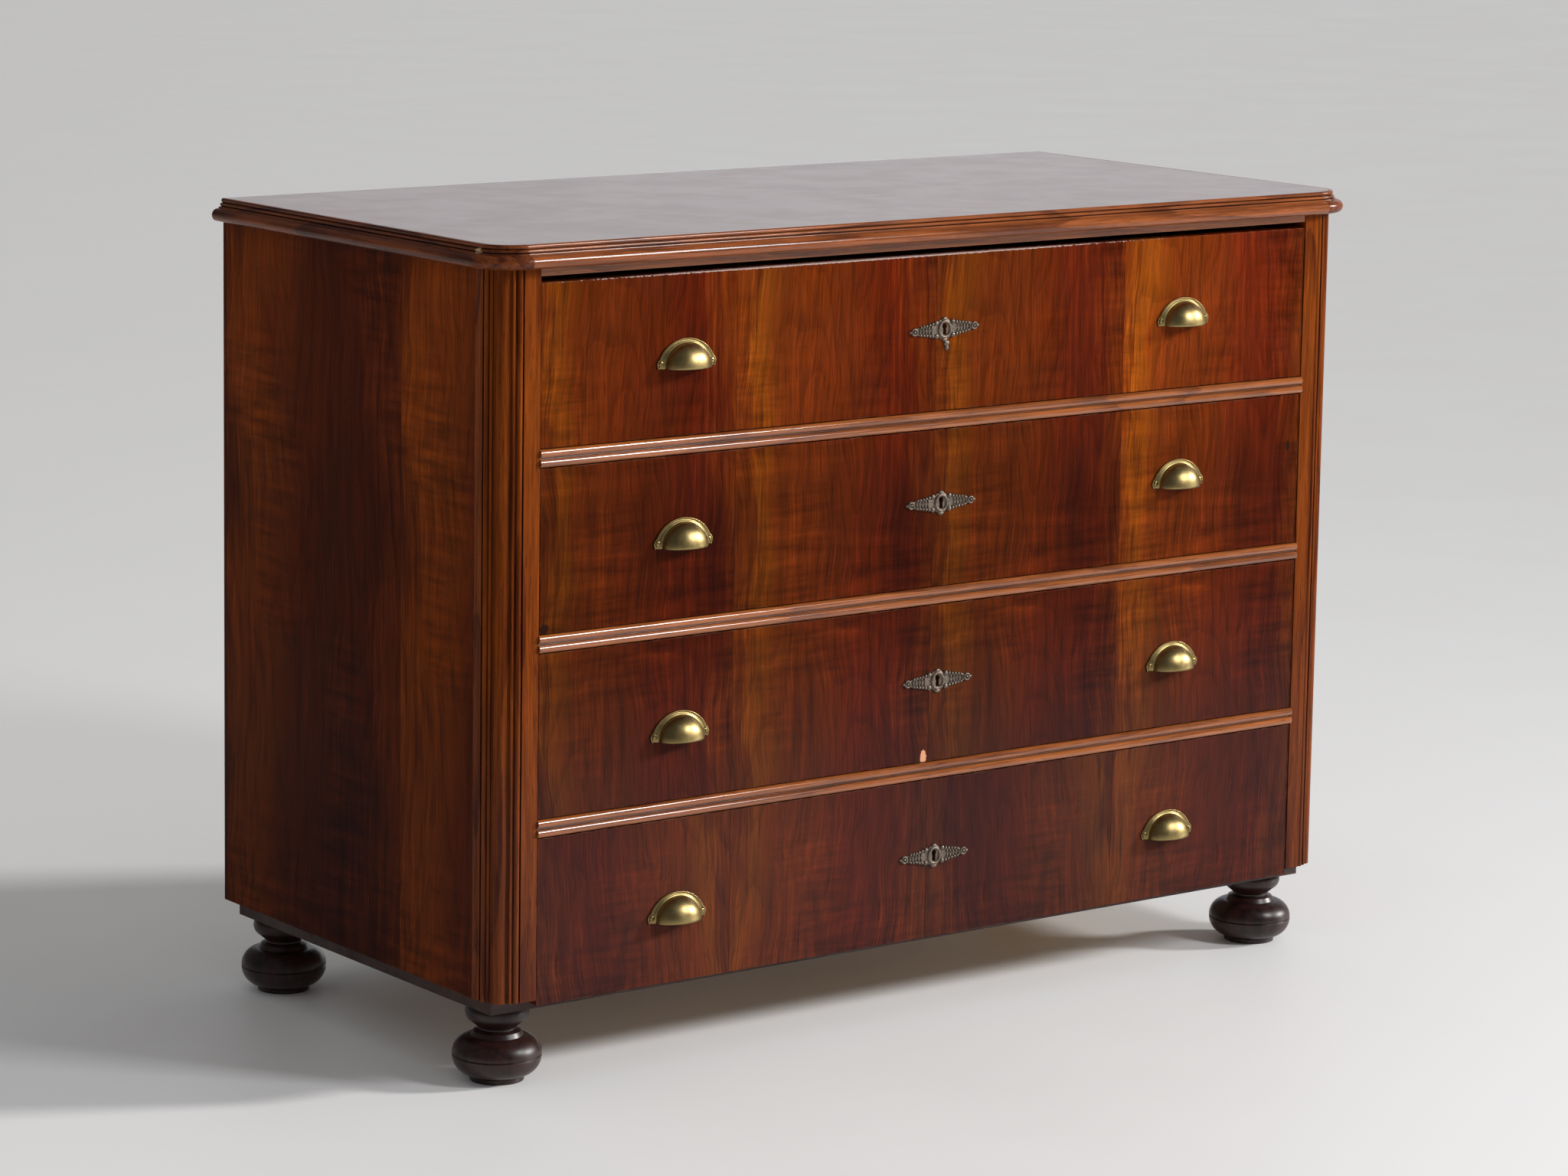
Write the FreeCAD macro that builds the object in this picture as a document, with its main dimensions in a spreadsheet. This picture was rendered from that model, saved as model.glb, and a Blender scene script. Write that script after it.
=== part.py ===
import FreeCAD, Part
import math
import os
import re
import Sketcher

# Chest of four equal drawers on turned bun feet, in millimetres.
# +X is to the right as seen from the front, the drawers face -Y and +Z is up.
# The origin lies on the floor, in the middle of the whole object's box.

SIZES = {
    # Carcass and its levels
    "carcass_width": 1160.0,
    "carcass_depth": 550.0,
    "foot_height": 82.0,
    "base_height": 16.0,
    "bottom_thickness": 18.0,
    "rail_height": 19.0,
    "top_rail_height": 18.0,
    "top_thickness": 16.0,
    "opening_one": 179.0,
    "opening_two": 175.0,
    "opening_three": 176.0,
    "opening_four": 173.0,
    # Corner posts, with a rounded and reeded outer corner; angles are in degrees from the front
    "corner_radius": 31.0,
    "stile_width": 20.0,
    "post_depth": 60.0,
    "reed_floor": 3.0,
    "bead_radius": 3.5,
    "bead_angle": 7.5,
    "slim_reed_radius": 1.8,
    "slim_reed_drop": 0.5,
    "slim_reed_angle": 21.5,
    "wide_reed_radius": 8.0,
    "wide_reed_rise": 1.5,
    # Side panels, back boards and bottom board
    "panel_thickness": 18.0,
    "panel_setback": 44.0,
    "back_thickness": 12.0,
    "back_rebate": 8.0,
    "back_board_gap": 0.6,
    "bottom_setback": 26.0,
    # Moulding round the top
    "top_setback": 5.0,
    "torus_reach": 17.5,
    "torus_radius": 7.0,
    "cove_radius": 2.0,
    "step_reach": 7.0,
    "step_radius": 2.0,
    "nose_reach": 5.5,
    "nose_radius": 2.5,
    # Drawer rails, with two beads on their front edge
    "rail_depth": 60.0,
    "bead_reach": 4.0,
    "bead_quirk": 1.0,
    "rail_proud": 3.0,
    "top_rail_recess": 1.0,
    "tenon_length": 15.0,
    "tenon_depth": 26.0,
    "tenon_height": 10.0,
    "tenon_setback": 20.0,
    # Runners, guides and stops inside the carcass
    "runner_width": 58.0,
    "guide_height": 24.0,
    "stop_width": 40.0,
    "stop_depth": 15.0,
    "stop_height": 6.0,
    "stop_spread": 260.0,
    # Base frame, its corner blocks and the feet
    "base_board_width": 60.0,
    "base_side_setback": 11.0,
    "base_front_setback": 24.5,
    "base_back_setback": 14.0,
    "block_width": 50.0,
    "foot_inset_side": 46.0,
    "foot_inset_front": 65.0,
    "foot_inset_rear": 52.0,
    "disc_radius": 29.0,
    "disc_height": 4.5,
    "bun_radius": 47.5,
    "bun_foot_radius": 31.0,
    "bun_start": 6.0,
    "bun_middle": 28.0,
    "incision": 1.0,
    "collar_radius": 28.0,
    "collar_start": 48.0,
    "collar_height": 5.0,
    "neck_radius": 20.0,
    "neck_start": 55.0,
    "neck_height": 2.0,
    "ring_radius": 34.0,
    "ring_bulge": 3.0,
    "ring_height": 16.0,
    "dowel_radius": 11.0,
    "dowel_length": 14.0,
    # Drawers
    "drawer_recess": 1.0,
    "front_gap": 1.0,
    "front_lift": 0.8,
    "top_row_gap": 7.0,
    "front_overlap": 6.0,
    "side_gap": 1.2,
    "running_clearance": 0.3,
    "front_thickness": 22.0,
    "side_thickness": 12.0,
    "drawer_back_gap": 37.0,
    "lap_cover": 6.0,
    "side_drop": 4.0,
    "back_drop": 8.0,
    "drawer_back_thickness": 12.0,
    "drawer_bottom_thickness": 8.0,
    "drawer_bottom_rise": 10.0,
    "groove_depth": 6.0,
    "tail_share": 0.62,
    "tail_slope": 0.17,
    # Locks, keyholes and escutcheons
    "key_rise_one": 7.0,
    "key_rise_two": 8.9,
    "key_rise_three": 5.7,
    "key_rise_four": 5.9,
    "keyhole_radius": 3.2,
    "keyhole_slot": 4.6,
    "keyhole_drop": 9.5,
    "lock_width": 64.0,
    "lock_thickness": 12.0,
    "lock_below_key": 24.0,
    "lock_top_gap": 1.0,
    "bolt_width": 22.0,
    "bolt_thickness": 5.0,
    "bolt_length": 66.0,
    "bolt_clearance": 0.4,
    "bolt_throw": 14.0,
    "escutcheon_half_width": 47.0,
    "escutcheon_relief": 3.6,
    "shield_half_width": 13.5,
    "shield_half_height": 12.5,
    "leaf_half_length": 16.0,
    "leaf_half_height": 8.5,
    "leaf_overlap": 2.0,
    "knob_radius": 4.6,
    "pendant_drop": 18.0,
    "pendant_shift": 3.0,
    "pendant_half_height": 7.0,
    "pendant_half_width": 5.0,
    # Cup pulls
    "pull_spread": 345.0,
    "pull_rise_one": 1.8,
    "pull_rise_two": 5.0,
    "pull_rise_three": -6.9,
    "pull_rise_four": -5.9,
    "pull_shift_one": 0.0,
    "pull_shift_two": -1.5,
    "pull_shift_three": -3.0,
    "pull_shift_four": -4.0,
    "pull_lift_one": 0.0,
    "pull_lift_two": 5.3,
    "pull_lift_three": 2.0,
    "pull_lift_four": 2.0,
    "pull_reach": 22.0,
    "cup_half_width": 28.5,
    "cup_height": 26.0,
    "cup_wall": 2.0,
    "rim_half_width": 37.0,
    "rim_height": 31.0,
    "rim_thickness": 2.2,
    "ear_radius": 5.6,
    "ear_spread": 32.4,
    "ear_rise": 5.6,
    "pull_screw_radius": 3.2,
    "pull_screw_head": 1.8,
    "pull_shank_radius": 1.5,
    "pull_shank_length": 14.0,
}

BACK_BOARDS = 3
TAILS = 4

doc = FreeCAD.newDocument("ChestOfDrawers")
sheet = doc.addObject("Spreadsheet::Sheet", "Sizes")
for row, (alias, size) in enumerate(SIZES.items(), start=1):
    sheet.set("A%d" % row, alias)
    sheet.set("B%d" % row, str(size))
    sheet.setAlias("B%d" % row, alias)
doc.recompute()


def bound(text):
    """Put the sheet's name before each size that an expression uses."""
    return re.sub(r"[a-z][a-z_]+", lambda found: "Sizes." + found.group(0) if found.group(0) in SIZES else found.group(0), text)


def value(text):
    """Work an expression out as a plain number."""
    return float(sheet.evalExpression(bound(text)))


def bind(obj, prop, text):
    """Tie one property of an object to an expression of the sizes."""
    obj.setExpression(prop, bound(str(text)))


def place(obj, x=0, y=0, z=0, turn=0.0):
    """Put an object at a point worked out from the sizes, turned about Z by whole degrees."""
    obj.Placement = FreeCAD.Placement(FreeCAD.Vector(), FreeCAD.Rotation(FreeCAD.Vector(0, 0, 1), turn))
    for axis, text in (("x", x), ("y", y), ("z", z)):
        bind(obj, "Placement.Base." + axis, text)
    return obj


def box(name, length, width, height, x, y, z, turn=0.0):
    """A board or block, from its lowest corner."""
    made = doc.addObject("Part::Box", name)
    for prop, text in (("Length", length), ("Width", width), ("Height", height)):
        bind(made, prop, text)
    return place(made, x, y, z, turn)


def rod(name, radius, height, x, y, z):
    """An upright round rod."""
    made = doc.addObject("Part::Cylinder", name)
    bind(made, "Radius", radius)
    bind(made, "Height", height)
    return place(made, x, y, z)


def pin(name, radius, length, x, y, z):
    """A round rod that runs from its start towards the back."""
    made = rod(name, radius, length, x, y, z)
    made.Placement = FreeCAD.Placement(FreeCAD.Vector(), FreeCAD.Rotation(FreeCAD.Vector(1, 0, 0), -90.0))
    return made


def egg(name, half_width, half_depth, half_height, x, y, z):
    """A whole ellipsoid about its middle."""
    made = doc.addObject("Part::Ellipsoid", name)
    bind(made, "Radius1", half_height)
    bind(made, "Radius2", half_width)
    bind(made, "Radius3", half_depth)
    made.Angle1 = -90.0
    made.Angle2 = 90.0
    made.Angle3 = 360.0
    return place(made, x, y, z)


def fuse(name, pieces):
    """Several shapes joined into one."""
    made = doc.addObject("Part::MultiFuse", name)
    made.Shapes = pieces
    return made


def cut(name, base, tools):
    """One shape with others taken away."""
    tool = tools[0] if len(tools) == 1 else fuse(name + "_voids", tools)
    made = doc.addObject("Part::Cut", name)
    made.Base = base
    made.Tool = tool
    return made


def common(name, first, second):
    """What two shapes share."""
    made = doc.addObject("Part::MultiCommon", name)
    made.Shapes = [first, second]
    return made


def group(name, pieces):
    """Separate solids that share one node."""
    made = doc.addObject("Part::Compound", name)
    made.Links = pieces
    return made


def mirrored(name, source):
    """The same piece on the other side of the middle plane."""
    made = doc.addObject("Part::Mirroring", name)
    made.Source = source
    made.Base = FreeCAD.Vector(0, 0, 0)
    made.Normal = FreeCAD.Vector(1, 0, 0)
    return made


def plane_of(body, role):
    """One of a body's own origin planes."""
    return [feature for feature in body.Origin.OriginFeatures if feature.Role == role][0]


def outline(body, name, role, corners):
    """Draw a closed outline. A corner is (x, y), or (x, y, bend, cx, cy) where an arc about (cx, cy)
    leads on to the next corner; the bend is "round" or "hollow"."""
    sketch = body.newObject("Sketcher::SketchObject", name)
    sketch.AttachmentSupport = [(plane_of(body, role), "")]
    sketch.MapMode = "FlatFace"
    count = len(corners)
    points = [FreeCAD.Vector(value(corner[0]), value(corner[1]), 0) for corner in corners]
    first_ends, last_ends = [], []
    for index, corner in enumerate(corners):
        start, end = points[index], points[(index + 1) % count]
        if len(corner) == 2:
            edge = sketch.addGeometry(Part.LineSegment(start, end), False)
            first_ends.append((edge, 1))
            last_ends.append((edge, 2))
            continue
        hollow = corner[2] == "hollow"
        centre = FreeCAD.Vector(value(corner[3]), value(corner[4]), 0)
        head, tail = (end, start) if hollow else (start, end)
        circle = Part.Circle(centre, FreeCAD.Vector(0, 0, 1), (head - centre).Length)
        angles = [math.atan2(point.y - centre.y, point.x - centre.x) for point in (head, tail)]
        edge = sketch.addGeometry(Part.ArcOfCircle(circle, angles[0], angles[1]), False)
        first_ends.append((edge, 2 if hollow else 1))
        last_ends.append((edge, 1 if hollow else 2))
    for index, corner in enumerate(corners):
        sketch.addConstraint(Sketcher.Constraint("Coincident", *last_ends[index - 1], *first_ends[index]))
        for kind, text, number in (("DistanceX", corner[0], points[index].x), ("DistanceY", corner[1], points[index].y)):
            tie = sketch.addConstraint(Sketcher.Constraint(kind, -1, 1, *first_ends[index], number))
            bind(sketch, "Constraints[%d]" % tie, text)
        if len(corner) > 2:
            chord = points[(index + 1) % count] - points[index]
            kind, text = ("DistanceX", corner[3]) if abs(chord.x) < abs(chord.y) else ("DistanceY", corner[4])
            edge = first_ends[index][0]
            tie = sketch.addConstraint(Sketcher.Constraint(kind, -1, 1, edge, 3, value(text)))
            bind(sketch, "Constraints[%d]" % tie, text)
    return sketch


def padded(name, role, corners, depth):
    """A body made by padding one outline."""
    body = doc.addObject("PartDesign::Body", name)
    sketch = outline(body, name + "_outline", role, corners)
    pad = body.newObject("PartDesign::Pad", name + "_pad")
    pad.Profile = sketch
    bind(pad, "Length", depth)
    return body


def turned(name, corners):
    """A body made by turning one outline about its upright axis."""
    body = doc.addObject("PartDesign::Body", name)
    sketch = outline(body, name + "_outline", "XZ_Plane", corners)
    turning = body.newObject("PartDesign::Revolution", name + "_turning")
    turning.Profile = sketch
    turning.ReferenceAxis = (sketch, ["V_Axis"])
    turning.Angle = 360.0
    return body


nodes = []


def node(name, obj):
    """Give a finished piece its name and list it for export."""
    obj.Label = name
    nodes.append(obj)
    return obj


# Places that several pieces share
FRONT = "((pull_reach - drawer_recess - carcass_depth) / 2)"
BACK = "(" + FRONT + " + carcass_depth)"
HALF = "(carcass_width / 2)"
POST_WIDTH = "(corner_radius + stile_width)"
HALF_OPENING = "(" + HALF + " - " + POST_WIDTH + ")"
PANEL_INSIDE = "(" + HALF + " - panel_thickness)"
CARCASS_BOTTOM = "(foot_height + base_height)"
LOWER_RAIL = "(" + CARCASS_BOTTOM + " + opening_four)"
MIDDLE_RAIL = "(" + LOWER_RAIL + " + rail_height + opening_three)"
UPPER_RAIL = "(" + MIDDLE_RAIL + " + rail_height + opening_two)"
TOP_RAIL = "(" + UPPER_RAIL + " + rail_height + opening_one)"
CARCASS_TOP = "(" + TOP_RAIL + " + top_rail_height)"
OBJECT_TOP = "(" + CARCASS_TOP + " + top_thickness)"
POST_HEIGHT = "(" + CARCASS_TOP + " - " + CARCASS_BOTTOM + ")"
BACK_INSIDE = "(" + BACK + " - back_thickness)"
MOULDING_HEIGHT = "(2 * (torus_radius + step_radius + nose_radius) + cove_radius)"
MOULDING_BOTTOM = "(" + OBJECT_TOP + " - " + MOULDING_HEIGHT + ")"
POST_BACK = "(" + FRONT + " + post_depth)"
DRAWER_FACE = "(" + FRONT + " + drawer_recess)"
DRAWER_INSIDE = "(" + DRAWER_FACE + " + front_thickness)"
DRAWER_LENGTH = "(" + BACK_INSIDE + " - drawer_back_gap - " + DRAWER_FACE + ")"
BOLT_PLANE = "(" + DRAWER_INSIDE + " + lock_thickness / 2)"
FOOT_FRONT = "(" + FRONT + " + foot_inset_front)"
FOOT_REAR = "(" + BACK + " - foot_inset_rear)"
FOOT_SIDE = "(" + HALF + " - foot_inset_side)"


def rail_tenons(name, level, height):
    """The stub tenons at both ends of a rail, shared by the rail and the posts' mortises."""
    z = "%s + (%s - tenon_height) / 2" % (level, height)
    y = FRONT + " + tenon_setback"
    sizes = ("tenon_length", "tenon_depth", "tenon_height")
    return [box(name + "_tenon_left", *sizes, "-" + HALF_OPENING + " - tenon_length", y, z),
            box(name + "_tenon_right", *sizes, HALF_OPENING, y, z)]


def bolt_mortise(name, level):
    """The slot under a rail that the lock bolt below it rises into."""
    width = "(bolt_width + 2 * bolt_clearance)"
    depth = "(bolt_thickness + 2 * bolt_clearance)"
    return box(name + "_mortise", width, depth, "bolt_throw", "-" + width + " / 2",
               BOLT_PLANE + " - " + depth + " / 2", level)


def make_rail(name, level):
    """A drawer rail: a board whose front edge carries two beads."""
    bead = "((rail_height - bead_quirk) / 2)"
    radius = "((" + bead + " ^ 2 / 4 + bead_reach ^ 2) / (2 * bead_reach))"
    corners = [("bead_reach", "0"), ("rail_depth", "0"), ("rail_depth", "rail_height"),
               ("bead_reach", "rail_height", "round", radius, "rail_height - " + bead + " / 2"),
               ("bead_reach", "rail_height - " + bead),
               ("bead_reach", bead, "round", radius, bead + " / 2")]
    board = padded(name + "_board", "YZ_Plane", corners, "2 * " + HALF_OPENING)
    place(board, "-" + HALF_OPENING, FRONT + " - rail_proud", level)
    tenons = rail_tenons(name, level, "rail_height")
    whole = fuse(name + "_whole", [board] + tenons)
    node(name, cut(name, whole, [bolt_mortise(name, level)]))
    return tenons[0]


def make_top_rail():
    """The plain rail under the top, set back behind the moulding."""
    board = box("top_rail_board", "2 * " + HALF_OPENING, "rail_depth - rail_proud - top_rail_recess", "top_rail_height",
                "-" + HALF_OPENING, FRONT + " + top_rail_recess", TOP_RAIL)
    tenons = rail_tenons("top_rail", TOP_RAIL, "top_rail_height")
    whole = fuse("top_rail_whole", [board] + tenons)
    node("top_rail", cut("top_rail", whole, [bolt_mortise("top_rail", TOP_RAIL)]))
    return tenons[0]


def make_reed(name, radius, angle, rise):
    """One upright reed of the left post, at an angle round its rounded corner."""
    reach = "(corner_radius + %s - %s)" % (rise, radius)
    x = "-%s + corner_radius - %s * sin(%s)" % (HALF, reach, angle)
    y = "%s + corner_radius - %s * cos(%s)" % (FRONT, reach, angle)
    return rod("post_" + name, radius, MOULDING_BOTTOM + " - " + CARCASS_BOTTOM, x, y, CARCASS_BOTTOM)


def make_posts(tenons):
    """The corner posts: a rebated square whose rounded corner carries beads, slim reeds and a wide reed."""
    corners = [("0", "panel_setback"), ("0", "corner_radius"),
               ("reed_floor", "corner_radius", "round", "corner_radius", "corner_radius"),
               ("corner_radius", "reed_floor"), ("corner_radius", "0"), (POST_WIDTH, "0"),
               (POST_WIDTH, "post_depth"), ("panel_thickness", "post_depth"), ("panel_thickness", "panel_setback")]
    core = padded("post_core", "XY_Plane", corners, POST_HEIGHT)
    pieces = [place(core, "-" + HALF, FRONT, CARCASS_BOTTOM),
              make_reed("bead_front", "bead_radius", "bead_angle", "0"),
              make_reed("slim_reed_front", "slim_reed_radius", "slim_reed_angle", "-slim_reed_drop"),
              make_reed("wide_reed", "wide_reed_radius", "45", "wide_reed_rise"),
              make_reed("slim_reed_rear", "slim_reed_radius", "(90 - slim_reed_angle)", "-slim_reed_drop"),
              make_reed("bead_rear", "bead_radius", "(90 - bead_angle)", "0")]
    left = cut("post_left", fuse("post_shape", pieces), tenons)
    node("corner_post_left", left)
    return left, node("corner_post_right", mirrored("post_right", left))


def moulding_profile(inset):
    """The outline of the top moulding, from its torus up to its nose, standing out from the carcass face."""
    torus = inset + " + torus_reach - torus_radius"
    step = inset + " + step_reach - step_radius"
    nose = inset + " + nose_reach - nose_radius"
    cove_bottom = "2 * torus_radius"
    cove_top = cove_bottom + " + cove_radius"
    step_top = cove_top + " + 2 * step_radius"
    return [(inset, "0"), (torus, "0", "round", torus, "torus_radius"),
            (torus, cove_bottom, "hollow", torus, cove_top), (torus + " - cove_radius", cove_top),
            (step, cove_top, "round", step, cove_top + " + step_radius"), (step, step_top),
            (nose, step_top, "round", nose, step_top + " + nose_radius"), (nose, MOULDING_HEIGHT),
            (inset, MOULDING_HEIGHT)]


def make_moulding_corner(name, x, turn):
    """The moulding's quarter turn round a corner post, about the middle of the corner's rounding."""
    body = doc.addObject("PartDesign::Body", name)
    profile = outline(body, name + "_outline", "XZ_Plane", moulding_profile("corner_radius"))
    turning = body.newObject("PartDesign::Revolution", name + "_turning")
    turning.Profile = profile
    turning.ReferenceAxis = (profile, ["V_Axis"])
    turning.Angle = 90.0
    return place(body, x, FRONT + " + corner_radius", MOULDING_BOTTOM, turn)


def make_moulding_run(name, run, x, y, turn):
    """A straight length of the moulding."""
    return place(padded(name, "YZ_Plane", moulding_profile("0"), run), x, y, MOULDING_BOTTOM, turn)


def make_mouldings():
    """The moulding along the front, round the two corners and along the two sides."""
    corner = "(" + HALF + " - corner_radius)"
    side_run = "(carcass_depth - top_setback - corner_radius)"
    node("moulding_front", make_moulding_run("moulding_front", "(2 * " + corner + ")", corner, FRONT, 180.0))
    left = [make_moulding_corner("moulding_corner_left", "-" + corner, 180.0),
            make_moulding_run("moulding_side_left", side_run, "-" + HALF, FRONT + " + corner_radius", 90.0)]
    right = [make_moulding_corner("moulding_corner_right", corner, 270.0),
             make_moulding_run("moulding_side_right", side_run, HALF, BACK + " - top_setback", 270.0)]
    node("moulding_left", group("moulding_left", left))
    node("moulding_right", group("moulding_right", right))


def make_top_board():
    """The top board, its front corners rounded like the posts."""
    depth = "(carcass_depth - top_setback)"
    far = "(carcass_width - corner_radius)"
    corners = [("corner_radius", "0"), (far, "0", "round", far, "corner_radius"), ("carcass_width", "corner_radius"),
               ("carcass_width", depth), ("0", depth),
               ("0", "corner_radius", "round", "corner_radius", "corner_radius")]
    board = padded("top_board", "XY_Plane", corners, "top_thickness")
    node("top_board", place(board, "-" + HALF, FRONT, CARCASS_TOP))


def make_panels_and_back():
    """The two side panels, rebated for the back, and the upright back boards."""
    reach = "(" + PANEL_INSIDE + " + back_rebate)"
    width = "(2 * " + reach + ")"
    rebate = box("back_rebate_space", width, "back_thickness", POST_HEIGHT, "-" + reach, BACK_INSIDE, CARCASS_BOTTOM)
    panel = box("panel_board", "panel_thickness", "carcass_depth - panel_setback", POST_HEIGHT,
                "-" + HALF, FRONT + " + panel_setback", CARCASS_BOTTOM)
    left = node("side_panel_left", cut("side_panel_left", panel, [rebate]))
    node("side_panel_right", mirrored("side_panel_right", left))
    pitch = "(" + width + " / %d)" % BACK_BOARDS
    boards = [box("back_board_%d" % index, pitch + " - back_board_gap", "back_thickness", POST_HEIGHT,
                  "-%s + %d * %s + back_board_gap / 2" % (reach, index, pitch), BACK_INSIDE, CARCASS_BOTTOM)
              for index in range(BACK_BOARDS)]
    node("back_boards", group("back_boards", boards))


def make_bottom_board(posts):
    """The board that closes the carcass below and carries the lowest drawer."""
    board = box("bottom_board_blank", "2 * " + PANEL_INSIDE, BACK_INSIDE + " - " + FRONT + " - bottom_setback",
                "bottom_thickness", "-" + PANEL_INSIDE, FRONT + " + bottom_setback", CARCASS_BOTTOM)
    node("bottom_board", cut("bottom_board", board, list(posts)))


def make_runners_and_guides(levels):
    """Runners level with each rail, kickers under the top, and guides that keep the drawers straight."""
    length = BACK_INSIDE + " - " + POST_BACK
    guide_width = "(" + PANEL_INSIDE + " - " + HALF_OPENING + ")"
    rail_back = "(" + FRONT + " - rail_proud + rail_depth)"
    runners, guides = [], []
    for index, (level, height) in enumerate(levels):
        for side, x in (("left", "-" + PANEL_INSIDE), ("right", PANEL_INSIDE + " - runner_width")):
            blank = box("runner_blank_%d_%s" % (index, side), "runner_width", BACK_INSIDE + " - " + rail_back, height,
                        x, rail_back, level)
            corner = box("runner_corner_%d_%s" % (index, side), guide_width, POST_BACK + " - " + rail_back, height,
                         "-" + PANEL_INSIDE if side == "left" else HALF_OPENING, rail_back, level)
            runners.append(cut("runner_%d_%s" % (index, side), blank, [corner]))
    floors = [CARCASS_BOTTOM + " + bottom_thickness"] + [level + " + " + height for level, height in levels[:-1]]
    for index, floor in enumerate(floors):
        for side, x in (("left", "-" + PANEL_INSIDE), ("right", HALF_OPENING)):
            guides.append(box("guide_%d_%s" % (index, side), guide_width, length, "guide_height", x, POST_BACK, floor))
    node("drawer_runners", group("drawer_runners", runners))
    node("drawer_guides", group("drawer_guides", guides))
    stops = []
    for index, floor in enumerate(floors):
        for side, x in (("left", "-stop_spread"), ("right", "stop_spread")):
            stops.append(box("stop_%d_%s" % (index, side), "stop_width", "stop_depth", "stop_height",
                             x + " - stop_width / 2", DRAWER_INSIDE + " + running_clearance", floor))
    node("drawer_stops", group("drawer_stops", stops))


def make_base():
    """The base frame of four boards, its corner blocks and the four turned feet."""
    dowels = []
    for name, x, y in (("front_left", "-" + FOOT_SIDE, FOOT_FRONT), ("front_right", FOOT_SIDE, FOOT_FRONT),
                       ("rear_left", "-" + FOOT_SIDE, FOOT_REAR), ("rear_right", FOOT_SIDE, FOOT_REAR)):
        dowels.append(rod("dowel_space_" + name, "dowel_radius", "base_height", x, y, "foot_height"))
        make_foot("foot_" + name, x, y)
    outside = "(" + HALF + " - base_side_setback)"
    inside = "(" + outside + " - base_board_width)"
    start = "(" + FRONT + " + base_front_setback)"
    middle = "(" + start + " + base_board_width)"
    end = "(" + BACK + " - base_back_setback)"
    rear = "(" + end + " - base_board_width)"
    length = end + " - " + middle
    front = box("base_front", "2 * " + outside, "base_board_width", "base_height", "-" + outside, start, "foot_height")
    left = box("base_side_left", "base_board_width", length, "base_height", "-" + outside, middle, "foot_height")
    right = box("base_side_right", "base_board_width", length, "base_height", inside, middle, "foot_height")
    back = box("base_back", "2 * " + inside, "base_board_width", "base_height", "-" + inside, rear, "foot_height")
    boards = [cut("base_front_drilled", front, dowels[:2]), cut("base_side_left_drilled", left, [dowels[2]]),
              cut("base_side_right_drilled", right, [dowels[3]]), back]
    node("base_frame", group("base_frame", boards))
    blocks = []
    for side, x in (("left", "-" + inside), ("right", inside + " - block_width")):
        for row_name, y in (("front", middle), ("rear", rear + " - block_width")):
            blocks.append(box("block_%s_%s" % (row_name, side), "block_width", "block_width", "base_height", x, y,
                              "foot_height"))
    node("corner_blocks", group("corner_blocks", blocks))


def make_foot(name, x, y):
    """A turned bun foot: disc, bun with an incised line, collar, neck, flared ring and dowel."""
    low = "((bun_radius - bun_foot_radius) ^ 2 + (bun_middle - incision - bun_start) ^ 2)"
    low_radius = "(" + low + " / (2 * (bun_radius - bun_foot_radius)))"
    high = "((bun_radius - collar_radius) ^ 2 + (collar_start - bun_middle - incision) ^ 2)"
    high_radius = "(" + high + " / (2 * (bun_radius - collar_radius)))"
    ring_edge = "(ring_radius - ring_bulge)"
    ring_curve = "((ring_height ^ 2 / 4 + ring_bulge ^ 2) / (2 * ring_bulge))"
    corners = [("0", "0"), ("disc_radius", "0"), ("disc_radius", "disc_height"),
               ("bun_foot_radius", "bun_start", "round", "bun_radius - " + low_radius, "bun_middle - incision"),
               ("bun_radius", "bun_middle - incision"), ("bun_radius - incision", "bun_middle"),
               ("bun_radius", "bun_middle + incision", "round", "bun_radius - " + high_radius,
                "bun_middle + incision"),
               ("collar_radius", "collar_start"),
               ("collar_radius - collar_height / 2", "collar_start + collar_height"),
               ("neck_radius", "neck_start"), ("neck_radius", "neck_start + neck_height"),
               (ring_edge, "foot_height - ring_height", "round", "ring_radius - " + ring_curve,
                "foot_height - ring_height / 2"),
               (ring_edge, "foot_height"), ("dowel_radius", "foot_height"),
               ("dowel_radius", "foot_height + dowel_length"), ("0", "foot_height + dowel_length")]
    node(name, place(turned(name, corners), x, y, "0"))


def comb(length_start, length_end, height):
    """A drawer side's outline: tails for the front's lap at one end and for the back at the other."""
    pitch = "(%s / %d)" % (height, TAILS)
    half_wide = "(%s * tail_share / 2)" % pitch
    front_depth = "(front_thickness - lap_cover)"
    rear_depth = "drawer_back_thickness"
    shoulder = "(%s + %s)" % (length_start, front_depth)
    rear_shoulder = "(%s - %s)" % (length_end, rear_depth)
    corners = [(shoulder, "0"), (rear_shoulder, "0")]
    for index in range(TAILS):
        middle = "(%s * %s)" % (pitch, index + 0.5)
        narrow = "(%s - %s * tail_slope)" % (half_wide, rear_depth)
        corners += [(rear_shoulder, "%s - %s" % (middle, narrow)), (length_end, "%s - %s" % (middle, half_wide)),
                    (length_end, "%s + %s" % (middle, half_wide)), (rear_shoulder, "%s + %s" % (middle, narrow))]
    corners += [(rear_shoulder, height), (shoulder, height)]
    for index in reversed(range(TAILS)):
        middle = "(%s * %s)" % (pitch, index + 0.5)
        narrow = "(%s - %s * tail_slope)" % (half_wide, front_depth)
        corners += [(shoulder, "%s + %s" % (middle, narrow)), (length_start, "%s + %s" % (middle, half_wide)),
                    (length_start, "%s - %s" % (middle, half_wide)), (shoulder, "%s - %s" % (middle, narrow))]
    return corners


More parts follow.
